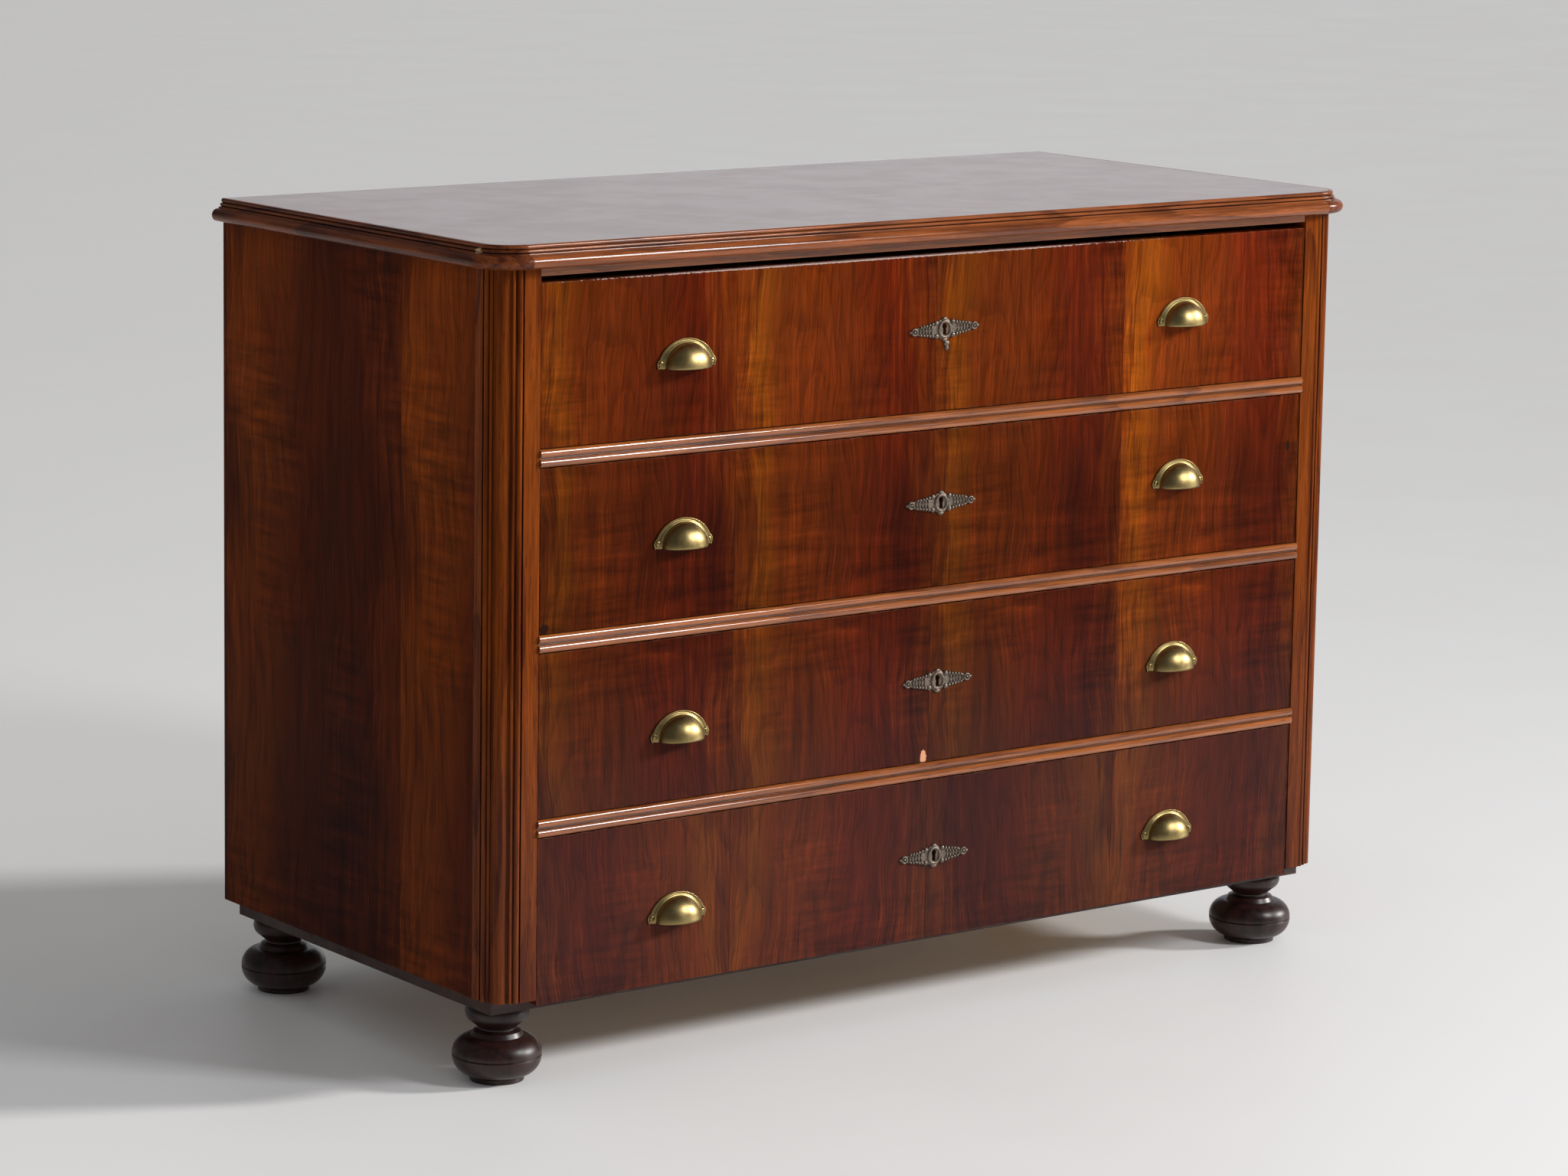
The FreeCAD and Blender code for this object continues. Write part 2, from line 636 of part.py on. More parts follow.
def make_pull(name, x, z):
    """A cup pull: a quarter shell with a rim on the drawer front and a screwed ear at each end."""
    wall = "cup_wall"
    shell = egg(name + "_shell", "cup_half_width", "pull_reach", "cup_height", "0", "0", "0")
    hollow = egg(name + "_hollow", "cup_half_width - " + wall, "pull_reach - " + wall, "cup_height - " + wall,
                 "0", "0", "0")
    rim = egg(name + "_rim", "rim_half_width", "rim_height", "rim_height", "0", "0", "0")
    outer_space = box(name + "_outer_space", "2 * rim_half_width", "pull_reach", "rim_height",
                      "-rim_half_width", "-pull_reach", "0")
    rim_space = box(name + "_rim_space", "2 * rim_half_width", "rim_thickness", "rim_height",
                    "-rim_half_width", "-rim_thickness", "0")
    pieces = [common(name + "_cup", shell, outer_space), common(name + "_rim_plate", rim, rim_space)]
    screws = []
    holes = [hollow]
    for side, sign in (("left", "-"), ("right", "")):
        ear_x = sign + "ear_spread"
        pieces.append(pin("%s_ear_%s" % (name, side), "ear_radius", "rim_thickness", ear_x, "-rim_thickness", "ear_rise"))
        holes.append(pin("%s_hole_%s" % (name, side), "pull_shank_radius", "rim_thickness", ear_x, "-rim_thickness",
                         "ear_rise"))
        shank = pin("%s_shank_%s" % (name, side), "pull_shank_radius", "rim_thickness + pull_shank_length", ear_x,
                    "-rim_thickness", "ear_rise")
        ball = egg("%s_ball_%s" % (name, side), "pull_screw_radius", "pull_screw_head", "pull_screw_radius", ear_x,
                   "-rim_thickness", "ear_rise")
        front_half = box("%s_half_%s" % (name, side), "2 * pull_screw_radius", "pull_screw_head",
                         "2 * pull_screw_radius", ear_x + " - pull_screw_radius", "-rim_thickness - pull_screw_head",
                         "ear_rise - pull_screw_radius")
        head = common("%s_head_%s" % (name, side), ball, front_half)
        screws.append(place(fuse("%s_screw_%s" % (name, side), [head, shank]), x, DRAWER_FACE, z))
    pull = cut(name, fuse(name + "_whole", pieces), holes)
    return [place(pull, x, DRAWER_FACE, z)] + screws


def keyhole_space(name, start, depth, key):
    """A keyhole: a round hole with a slot below it, cut from front to back."""
    return [pin(name + "_round", "keyhole_radius", depth, "0", start, key),
            box(name + "_slot", "keyhole_slot", depth, "keyhole_drop", "-keyhole_slot / 2", start,
                key + " - keyhole_drop")]


def make_escutcheon(name, key, with_pendant):
    """A cast escutcheon: a keyhole shield between two leaves that end in round knobs."""
    leaf_x = "(escutcheon_half_width - 2 * knob_radius - leaf_half_length + leaf_overlap)"
    knob_x = "(escutcheon_half_width - knob_radius)"
    middle = "(" + key + " - (keyhole_drop - keyhole_radius) / 2)"
    pieces = [egg(name + "_shield", "shield_half_width", "escutcheon_relief", "shield_half_height",
                  "0", DRAWER_FACE, middle)]
    for side, sign in (("left", "-"), ("right", "")):
        pieces.append(egg("%s_leaf_%s" % (name, side), "leaf_half_length", "escutcheon_relief", "leaf_half_height",
                          sign + leaf_x, DRAWER_FACE, middle))
        pieces.append(egg("%s_knob_%s" % (name, side), "knob_radius", "escutcheon_relief", "knob_radius",
                          sign + knob_x, DRAWER_FACE, middle))
    if with_pendant:
        pieces.append(egg(name + "_pendant", "pendant_half_width", "escutcheon_relief", "pendant_half_height",
                          "pendant_shift", DRAWER_FACE, middle + " - pendant_drop"))
    space = box(name + "_space", "2 * escutcheon_half_width", "escutcheon_relief", "4 * pendant_drop",
                "-escutcheon_half_width", DRAWER_FACE + " - escutcheon_relief", middle + " - 2 * pendant_drop")
    relief = common(name + "_relief", fuse(name + "_pieces", pieces), space)
    return cut(name, relief, keyhole_space(name + "_key", DRAWER_FACE + " - escutcheon_relief",
                                           "escutcheon_relief", key))


def make_lock(name, key, top):
    """The lock case on the inside of the front, with its bolt in a channel."""
    z = "(%s - lock_below_key)" % key
    height = "(%s - lock_top_gap - %s)" % (top, z)
    case = box(name + "_case_blank", "lock_width", "lock_thickness", height, "-lock_width / 2", DRAWER_INSIDE, z)
    channel_width = "(bolt_width + 2 * bolt_clearance)"
    channel_depth = "(bolt_thickness + 2 * bolt_clearance)"
    channel_length = "(bolt_length + bolt_clearance)"
    bolt_top = "(%s - lock_top_gap)" % top
    channel = box(name + "_channel", channel_width, channel_depth, channel_length, "-" + channel_width + " / 2",
                  BOLT_PLANE + " - " + channel_depth + " / 2", bolt_top + " - " + channel_length)
    key_space = keyhole_space(name + "_case_key", DRAWER_INSIDE, "(lock_thickness - bolt_thickness) / 2", key)
    node(name + "_lock_case", cut(name + "_lock_case", case, [channel] + key_space))
    node(name + "_lock_bolt", box(name + "_lock_bolt", "bolt_width", "bolt_thickness", "bolt_length",
                                  "-bolt_width / 2", BOLT_PLANE + " - bolt_thickness / 2",
                                  bolt_top + " - bolt_length"))


def make_drawer(number, word, opening, floor, front_start, top_gap):
    """One drawer: dovetailed front, sides and back, grooved bottom, pulls, escutcheon and lock."""
    name = "drawer_%d" % number
    top = "(%s - %s)" % (opening[1], top_gap)
    height = "(%s - %s)" % (top, front_start)
    half = "(" + HALF_OPENING + " - side_gap)"
    side_floor = "(%s + running_clearance)" % floor
    side_height = "(%s - side_drop - %s)" % (top, side_floor)
    key = "(%s + %s / 2 + key_rise_%s)" % (front_start, height, word)
    inner = "(" + half + " - side_thickness)"
    bottom_z = "(%s + drawer_bottom_rise)" % side_floor
    bottom = box(name + "_bottom", "2 * (%s + groove_depth)" % inner,
                 DRAWER_LENGTH + " - front_thickness + groove_depth", "drawer_bottom_thickness",
                 "-(%s + groove_depth)" % inner, DRAWER_INSIDE + " - groove_depth", bottom_z)
    blank = padded(name + "_side_blank", "YZ_Plane", comb("lap_cover", DRAWER_LENGTH, side_height), "side_thickness")
    place(blank, "-" + half, DRAWER_FACE, side_floor)
    left = cut(name + "_side_left", blank, [bottom])
    right = mirrored(name + "_side_right", left)
    front_blank = box(name + "_front_blank", "2 * " + half, "front_thickness", height, "-" + half, DRAWER_FACE,
                      front_start)
    screws = []
    pulls = []
    pull_z = "(%s + %s / 2 + pull_rise_%s - rim_height / 2)" % (front_start, height, word)
    for side, x, z in (("left", "-pull_spread", pull_z), ("right", "pull_spread", pull_z + " + pull_lift_" + word)):
        made = make_pull("%s_pull_%s" % (name, side), x + " + pull_shift_" + word, z)
        pulls += made
        screws += made[1:]
    key_space = keyhole_space(name + "_front_key", DRAWER_FACE, "front_thickness", key)
    front = cut(name + "_front", front_blank, [left, right, bottom] + key_space + screws)
    back_z = "(%s + drawer_bottom_thickness)" % bottom_z
    back_blank = box(name + "_back_blank", "2 * " + half, "drawer_back_thickness",
                     "%s + %s - back_drop - %s" % (side_floor, side_height, back_z), "-" + half,
                     DRAWER_FACE + " + " + DRAWER_LENGTH + " - drawer_back_thickness", back_z)
    back = cut(name + "_back", back_blank, [left, right])
    for suffix, piece in (("front", front), ("side_left", left), ("side_right", right), ("back", back),
                          ("bottom", bottom), ("pulls", group(name + "_pulls", pulls)),
                          ("escutcheon", make_escutcheon(name + "_escutcheon", key, number == 1))):
        node("%s_%s" % (name, suffix), piece)
    make_lock(name, key, top)


def make_drawers():
    """All four drawers, from the top one down."""
    rows = [(1, "one", (UPPER_RAIL + " + rail_height", TOP_RAIL), "top_row_gap"),
            (2, "two", (MIDDLE_RAIL + " + rail_height", UPPER_RAIL), "front_gap"),
            (3, "three", (LOWER_RAIL + " + rail_height", MIDDLE_RAIL), "front_gap")]
    for number, word, opening, top_gap in rows:
        make_drawer(number, word, opening, opening[0], "(%s + front_lift)" % opening[0], top_gap)
    make_drawer(4, "four", (CARCASS_BOTTOM, LOWER_RAIL), CARCASS_BOTTOM + " + bottom_thickness",
                "(" + CARCASS_BOTTOM + " - front_overlap)", "front_gap")


def make_carcass():
    """Everything that stands still."""
    all_tenons = []
    for name, level in (("drawer_rail_upper", UPPER_RAIL), ("drawer_rail_middle", MIDDLE_RAIL),
                        ("drawer_rail_lower", LOWER_RAIL)):
        all_tenons.append(make_rail(name, level))
    all_tenons.append(make_top_rail())
    posts = make_posts(all_tenons)
    make_top_board()
    make_mouldings()
    make_panels_and_back()
    make_bottom_board(posts)
    make_runners_and_guides([(LOWER_RAIL, "rail_height"), (MIDDLE_RAIL, "rail_height"), (UPPER_RAIL, "rail_height"),
                             (TOP_RAIL, "top_rail_height")])
    make_base()


def check_and_export():
    """Stop at the first piece that is not sound, then write every piece to its own file."""
    for obj in doc.Objects:
        for word in ("Invalid", "Error"):
            if word in obj.State:
                raise RuntimeError("%s is %s" % (obj.Label, word))
    for obj in nodes:
        if obj.Shape.isNull() or not obj.Shape.isValid() or not obj.Shape.Solids:
            raise RuntimeError("%s has no sound shape" % obj.Label)
    os.makedirs("parts", exist_ok=True)
    for obj in nodes:
        obj.Shape.exportStep("parts/%s.step" % obj.Label)
        print("%-24s solids %2d volume %12.1f" % (obj.Label, len(obj.Shape.Solids), obj.Shape.Volume))


make_carcass()
make_drawers()
doc.recompute()
check_and_export()
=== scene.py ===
"""Looks of a walnut chest of drawers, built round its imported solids.

Lengths are in metres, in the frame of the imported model: +X is to the right as seen from the front,
the drawers face -Y and +Z is up. Noise scales are repeats per metre.
"""

import logging
import math
from collections.abc import Callable, Sequence
from dataclasses import dataclass, field, replace
from enum import Enum

import bpy
import numpy as np
from mathutils import Matrix, Vector


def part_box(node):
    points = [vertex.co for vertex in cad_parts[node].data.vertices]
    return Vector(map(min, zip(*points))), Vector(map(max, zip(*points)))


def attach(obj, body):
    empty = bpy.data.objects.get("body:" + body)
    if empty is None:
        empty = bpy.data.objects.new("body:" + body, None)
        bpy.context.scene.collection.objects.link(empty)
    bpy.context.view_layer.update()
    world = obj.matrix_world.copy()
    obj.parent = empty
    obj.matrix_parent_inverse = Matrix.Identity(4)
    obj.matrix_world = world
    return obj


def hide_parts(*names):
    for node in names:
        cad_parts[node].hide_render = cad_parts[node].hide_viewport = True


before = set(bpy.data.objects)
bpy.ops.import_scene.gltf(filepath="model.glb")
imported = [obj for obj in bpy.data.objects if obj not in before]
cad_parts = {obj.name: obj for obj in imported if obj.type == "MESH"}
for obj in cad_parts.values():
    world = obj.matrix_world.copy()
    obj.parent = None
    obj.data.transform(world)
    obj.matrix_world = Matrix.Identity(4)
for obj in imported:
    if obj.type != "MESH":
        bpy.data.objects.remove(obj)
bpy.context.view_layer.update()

log = logging.getLogger("chest")

Node = bpy.types.Node
Socket = bpy.types.NodeSocket
Colour = tuple[float, float, float]
Point = tuple[float, float, float]
Span = tuple[float, float]
Feed = Socket | float | int | tuple[float, ...]

# Most of a noise lies in this span, about this middle.
NOISE_SPAN: Span = (0.3, 0.7)
NOISE_MIDDLE = 0.5
# A Mix node's own numbers for its factor, its two colours and the colour that it gives.
MIX_INPUTS = (0, 6, 7)
MIX_OUTPUT = 2
# What is alike on the left and the right is made once for each.
SIDES: Span = (-1.0, 1.0)


class Axis(Enum):
    """A direction, of a board's grain or of a row of veneer leaves."""

    X = "X"
    Y = "Y"
    Z = "Z"


class Kind(Enum):
    """What a plug of a shader group carries."""

    NUMBER = "NodeSocketFloat"
    VECTOR = "NodeSocketVector"


class Graph:
    """Adds nodes to one shader tree and links them."""

    def __init__(self, tree: bpy.types.NodeTree) -> None:
        """Keep the tree that the nodes go into."""
        self.tree = tree

    def add(self, kind: str, feeds: dict[str | int, Feed] | None = None, **settings: object) -> Node:
        """Make one node.

        Args:
            kind: Blender's name for the kind of node.
            feeds: What goes into each input, a socket to link or a plain value.
            settings: Choices to set on the node itself.

        Returns:
            The new node.
        """
        made = self.tree.nodes.new(kind)
        for name, choice in settings.items():
            setattr(made, name, choice)
        for name, feed in (feeds or {}).items():
            self.feed(made.inputs[name], feed)
        return made

    def feed(self, plug: Socket, feed: Feed) -> None:
        """Link a socket to an input, or set the input to a plain value.

        Args:
            plug: The input.
            feed: A socket to link, a number, a colour or a vector.
        """
        if isinstance(feed, Socket):
            self.tree.links.new(feed, plug)
        elif plug.type == "RGBA":
            plug.default_value = (*feed, 1.0)
        else:
            plug.default_value = feed

    def math(self, operation: str, *feeds: Feed) -> Socket:
        """Work out one sum, product or other operation on numbers."""
        return self.add("ShaderNodeMath", dict(enumerate(feeds)), operation=operation).outputs[0]

    def vector(self, operation: str, *feeds: Feed) -> Socket:
        """Work out one operation that gives a vector."""
        made = self.add("ShaderNodeVectorMath", dict(enumerate(feeds)), operation=operation)
        return made.outputs["Vector"]

    def measure(self, operation: str, *feeds: Feed) -> Socket:
        """Work out one operation on vectors that gives a number."""
        made = self.add("ShaderNodeVectorMath", dict(enumerate(feeds)), operation=operation)
        return made.outputs["Value"]

    def shaded(self, colour: Feed, shade: Feed) -> Socket:
        """A colour made darker or lighter by a number."""
        feeds = {0: colour, "Scale": shade}
        return self.add("ShaderNodeVectorMath", feeds, operation="SCALE").outputs["Vector"]

    def mix(self, factor: Feed, first: Feed, second: Feed) -> Socket:
        """Mix two colours."""
        feeds = dict(zip(MIX_INPUTS, (factor, first, second)))
        return self.add("ShaderNodeMix", feeds, data_type="RGBA", blend_type="MIX").outputs[MIX_OUTPUT]

    def part_mix(self, mask: Feed, strength: Feed, first: Feed, second: Feed) -> Socket:
        """Mix two colours by a share of a mask."""
        return self.mix(self.math("MULTIPLY", mask, strength), first, second)

    def range(self, value: Feed, low: Feed, high: Feed, to_low: Feed = 0.0, to_high: Feed = 1.0) -> Socket:
        """Carry a value from one range to another, smoothly and clamped."""
        feeds = {0: value, 1: low, 2: high, 3: to_low, 4: to_high}
        return self.add("ShaderNodeMapRange", feeds, interpolation_type="SMOOTHSTEP").outputs[0]

    def noise(self, vector: Feed, scale: Feed, detail: float = 2.0, roughness: float = 0.5) -> Socket:
        """A smooth random value over the surface."""
        feeds = {"Vector": vector, "Scale": scale, "Detail": detail, "Roughness": roughness}
        return self.add("ShaderNodeTexNoise", feeds).outputs[0]

    def ramp(self, value: Feed, stops: Sequence[tuple[float, Colour]]) -> Socket:
        """Pick a colour by a value.

        Args:
            value: Where to look, from 0 to 1.
            stops: The colours and where they stand.

        Returns:
            The colour.
        """
        made = self.add("ShaderNodeValToRGB", {0: value})
        elements = made.color_ramp.elements
        while len(elements) < len(stops):
            elements.new(0.5)
        for element, (position, colour) in zip(elements, stops):
            element.position = position
            element.color = (*colour, 1.0)
        return made.outputs[0]

    def split(self, vector: Feed) -> list[Socket]:
        """The three parts of a vector."""
        return list(self.add("ShaderNodeSeparateXYZ", {0: vector}).outputs)

    def join(self, x: Feed, y: Feed, z: Feed) -> Socket:
        """A vector from its three parts."""
        return self.add("ShaderNodeCombineXYZ", {0: x, 1: y, 2: z}).outputs[0]


@dataclass(frozen=True)
class DrawnNoise:
    """A noise drawn out along the grain."""

    across: float
    along: float
    scale: float = 1.0
    detail: float = 3.0
    roughness: float = 0.5


@dataclass(frozen=True)
class Effect:
    """What every shared shader group has: a way to begin it and a way to make it."""

    def start(self, name: str, inputs: dict[str, float | None],
              outputs: dict[str, Kind]) -> tuple[Graph, dict[str, Socket], dict[str, Socket]]:
        """Begin the group.

        Args:
            name: The group's name.
            inputs: Each input with its value, or None for a vector.
            outputs: Each output with its kind.

        Returns:
            The group's graph, its input sockets by name and its output plugs by name.
        """
        tree = bpy.data.node_groups.new(name, "ShaderNodeTree")
        for title, value in inputs.items():
            kind = Kind.VECTOR if value is None else Kind.NUMBER
            made = tree.interface.new_socket(name=title, in_out="INPUT", socket_type=kind.value)
            if value is not None:
                made.default_value = value
        for title, kind in outputs.items():
            tree.interface.new_socket(name=title, in_out="OUTPUT", socket_type=kind.value)
        graph = Graph(tree)
        entry = graph.add("NodeGroupInput")
        leaving = graph.add("NodeGroupOutput")
        sources = {title: entry.outputs[title] for title in inputs}
        plugs = {title: leaving.inputs[title] for title in outputs}
        return graph, sources, plugs

    def make(self) -> bpy.types.NodeTree:
        """Make the group."""
        raise NotImplementedError


@dataclass(frozen=True)
class Grain(Effect):
    """Wood grain that runs along Z: nested figure, streaks, fine fibres, short pores and cross ripples."""

    bends: Point = (8.0, 8.0, 5.0)
    drift_detail: float = 1.5
    drift_roughness: float = 0.45
    tooth_scale: float = 7.0
    tooth_detail: float = 3.0
    tooth_size: float = 0.30
    late_wood: Span = (0.55, 0.94)
    late_end: float = 0.95
    glow: DrawnNoise = DrawnNoise(11.0, 4.5, roughness=0.55)
    streak: DrawnNoise = DrawnNoise(95.0, 4.5, detail=5.0, roughness=0.66)
    fibre: DrawnNoise = DrawnNoise(420.0, 16.0, roughness=0.62)
    pore: DrawnNoise = DrawnNoise(420.0, 26.0, scale=1.6, detail=1.0)
    pore_span: Span = (0.62, 0.75)
    ripple: DrawnNoise = DrawnNoise(11.0, 85.0, roughness=0.6)
    patch: DrawnNoise = DrawnNoise(7.0, 5.0, detail=1.0)
    patch_span: Span = (0.4, 0.65)

    def make(self) -> bpy.types.NodeTree:
        """Make the group.

        Returns:
            The group's tree.
        """
        inputs = {"Vector": None, "Across": 9.0, "Along": 1.1, "Rings": 5.0, "Bend": 0.012}
        titles = ("Figure", "Glow", "Streak", "Fibre", "Pores", "Drift", "Ripple")
        graph, source, plug = self.start("wood grain", inputs, {title: Kind.NUMBER for title in titles})
        straight, y, z = graph.split(source["Vector"])
        bends = graph.noise(graph.vector("MULTIPLY", source["Vector"], self.bends), 1.0)
        bends = graph.math("SUBTRACT", bends, NOISE_MIDDLE)
        x = graph.math("MULTIPLY_ADD", bends, source["Bend"], straight)

        def stretched(across: Feed, along: Feed) -> Socket:
            """The point, drawn out by one scale across the grain and one along it."""
            return graph.join(graph.math("MULTIPLY", x, across), graph.math("MULTIPLY", y, across),
                              graph.math("MULTIPLY", z, along))

        def drawn(noise: DrawnNoise) -> Socket:
            """The value of a drawn-out noise."""
            point = stretched(noise.across, noise.along)
            return graph.noise(point, noise.scale, noise.detail, noise.roughness)

        slow = stretched(source["Across"], source["Along"])
        drift = graph.noise(slow, 1.0, self.drift_detail, self.drift_roughness)
        rings = graph.math("MULTIPLY", drift, source["Rings"])
        graph.feed(plug["Drift"], drift)
        graph.feed(plug["Figure"], self.figure(graph, slow, rings))
        graph.feed(plug["Glow"], drawn(self.glow))
        graph.feed(plug["Streak"], drawn(self.streak))
        graph.feed(plug["Fibre"], drawn(self.fibre))
        graph.feed(plug["Pores"], graph.range(drawn(self.pore), *self.pore_span))
        ripple = graph.math("SUBTRACT", drawn(self.ripple), NOISE_MIDDLE)
        patch = graph.range(drawn(self.patch), *self.patch_span)
        graph.feed(plug["Ripple"], graph.math("MULTIPLY_ADD", ripple, patch, NOISE_MIDDLE))
        return graph.tree

    def figure(self, graph: Graph, slow: Feed, rings: Feed) -> Socket:
        """Turn a slow noise into year rings, dark where each one ends.

        Args:
            graph: The group's graph.
            slow: The slow point.
            rings: The slow noise, times the number of rings.

        Returns:
            The figure, 0 in the late wood and 1 in the early wood.
        """
        ragged = graph.noise(slow, self.tooth_scale, self.tooth_detail)
        ragged = graph.math("MULTIPLY", ragged, self.tooth_size)
        ring = graph.math("FRACT", graph.math("ADD", rings, ragged))
        late = graph.range(ring, *self.late_wood)
        late = graph.math("MULTIPLY", late, graph.range(ring, 1.0, self.late_end))
        return graph.math("SUBTRACT", 1.0, late)


@dataclass(frozen=True)
class Leaves(Effect):
    """Sheets of veneer laid side by side."""

    def make(self) -> bpy.types.NodeTree:
        """Make the group.

        Returns:
            The group's tree, which gives the place in a sheet, the same mirrored, its number and its joint.
        """
        inputs = {"Position": 0.0, "Start": 0.0, "Width": 0.27, "Joint": 0.0007}
        titles = ("Place", "Mirrored", "Number", "Joint")
        graph, source, plug = self.start("veneer leaves", inputs, {title: Kind.NUMBER for title in titles})
        from_start = graph.math("SUBTRACT", source["Position"], source["Start"])
        sheets = graph.math("DIVIDE", from_start, source["Width"])
        place = graph.math("FRACT", sheets)
        graph.feed(plug["Place"], place)
        graph.feed(plug["Mirrored"], graph.math("PINGPONG", sheets, 1.0))
        graph.feed(plug["Number"], graph.math("FLOOR", sheets))
        nearest = graph.math("MINIMUM", place, graph.math("SUBTRACT", 1.0, place))
        away = graph.math("MULTIPLY", nearest, source["Width"])
        graph.feed(plug["Joint"], graph.range(away, 0.0, source["Joint"], 1.0, 0.0))
        return graph.tree


@dataclass(frozen=True)
class Wear(Effect):
    """A softened normal at edges, where the edges have rubbed, and how deep a hollow is."""

    samples: int = 4
    edge_turn: Span = (0.02, 0.2)
    patch_detail: float = 3.0
    patch_roughness: float = 0.6
    patch_span: Span = (0.42, 0.66)
    hollow_span: Span = (0.25, 0.85)

    def make(self) -> bpy.types.NodeTree:
        """Make the group.

        Returns:
            The group's tree.
        """
        inputs = {"Vector": None, "Radius": 0.0008, "Patchiness": 60.0, "Hollow": 0.006}
        outputs = {"Normal": Kind.VECTOR, "Rubbed": Kind.NUMBER, "Hollow": Kind.NUMBER}
        graph, source, plug = self.start("edge wear", inputs, outputs)
        soft = graph.add("ShaderNodeBevel", {"Radius": source["Radius"]}, samples=self.samples).outputs[0]
        graph.feed(plug["Normal"], soft)
        straight = graph.add("ShaderNodeNewGeometry").outputs["Normal"]
        turned = graph.math("SUBTRACT", 1.0, graph.measure("DOT_PRODUCT", soft, straight))
        patches = graph.noise(source["Vector"], source["Patchiness"], self.patch_detail,
                              self.patch_roughness)
        graph.feed(plug["Rubbed"], graph.math("MULTIPLY", graph.range(turned, *self.edge_turn),
                                              graph.range(patches, *self.patch_span)))
        # How deep a hollow is: the finishes paint shade there by it, and on metal grime too.
        sky = graph.add("ShaderNodeAmbientOcclusion", {"Distance": source["Hollow"]}, samples=self.samples,
                        only_local=True)
        graph.feed(plug["Hollow"], graph.range(sky.outputs["AO"], *self.hollow_span, 1.0, 0.0))
        return graph.tree


@dataclass(frozen=True)
class Spot(Effect):
    """One ragged patch about a point, for chips, dents and filler."""

    ragged_scale: float = 420.0
    ragged_reach: float = 2.0
    fade_from: float = 0.85

    def make(self) -> bpy.types.NodeTree:
        """Make the group.

        Returns:
            The group's tree.
        """
        inputs = {"Vector": None, "Centre": None, "Reach": None, "Ragged": 0.5}
        graph, source, plug = self.start("spot", inputs, {"Mask": Kind.NUMBER})
        away = graph.vector("SUBTRACT", source["Vector"], source["Centre"])
        away = graph.vector("DIVIDE", away, source["Reach"])
        rough = graph.math("SUBTRACT", graph.noise(source["Vector"], self.ragged_scale), NOISE_MIDDLE)
        rough = graph.math("MULTIPLY", rough, source["Ragged"])
        rough = graph.math("MULTIPLY", rough, self.ragged_reach)
        reach = graph.math("ADD", graph.measure("LENGTH", away), rough)
        graph.feed(plug["Mask"], graph.range(reach, self.fade_from, 1.0, 1.0, 0.0))
        return graph.tree


@dataclass(frozen=True)
class Handling(Effect):
    """Cloudy handling marks for the gloss, and fine dust that settles on what faces up."""

    cloud_detail: float = 4.0
    cloud_roughness: float = 0.6
    speck_scale: float = 900.0
    speck_roughness: float = 0.7
    speck_span: Span = (0.5, 0.75)
    facing_up: Span = (0.5, 1.0)

    def make(self) -> bpy.types.NodeTree:
        """Make the group.

        Returns:
            The group's tree.
        """
        inputs = {"Vector": None, "Scale": 14.0, "Low": 0.2, "High": 0.4}
        graph, source, plug = self.start("handling", inputs, {"Gloss": Kind.NUMBER, "Dust": Kind.NUMBER})
        clouds = graph.noise(source["Vector"], source["Scale"], self.cloud_detail, self.cloud_roughness)
        graph.feed(plug["Gloss"], graph.range(clouds, *NOISE_SPAN, source["Low"], source["High"]))
        up = graph.split(graph.add("ShaderNodeNewGeometry").outputs["Normal"])[2]
        specks = graph.noise(source["Vector"], self.speck_scale, roughness=self.speck_roughness)
        graph.feed(plug["Dust"], graph.math("MULTIPLY", graph.range(up, *self.facing_up),
                                            graph.range(specks, *self.speck_span)))
        return graph.tree


class Effects:
    """The shader groups that the finishes share, each made once."""

    def __init__(self) -> None:
        """Make every group."""
        self.grain = Grain().make()
        self.leaves = Leaves().make()
        self.wear = Wear().make()
        self.spot = Spot().make()
        self.handling = Handling().make()

    @staticmethod
    def place(graph: Graph, effect: bpy.types.NodeTree, feeds: dict[str, Feed]) -> dict[str, Socket]:
        """Put an effect into a material.

        Args:
            graph: The material's graph.
            effect: The group to place.
            feeds: What goes into the group's inputs.

        Returns:
            The group's outputs by name.
        """
        made = graph.add("ShaderNodeGroup", node_tree=effect)
        for title, feed in feeds.items():
            graph.feed(made.inputs[title], feed)
        return {output.name: output for output in made.outputs}


@dataclass(frozen=True)
class Mark:
    """A chip, dent, open seam, patch of filler or painted highlight on a face."""

    centre: Point
    reach: Point
    colour: Colour
    ragged: float = 0.5


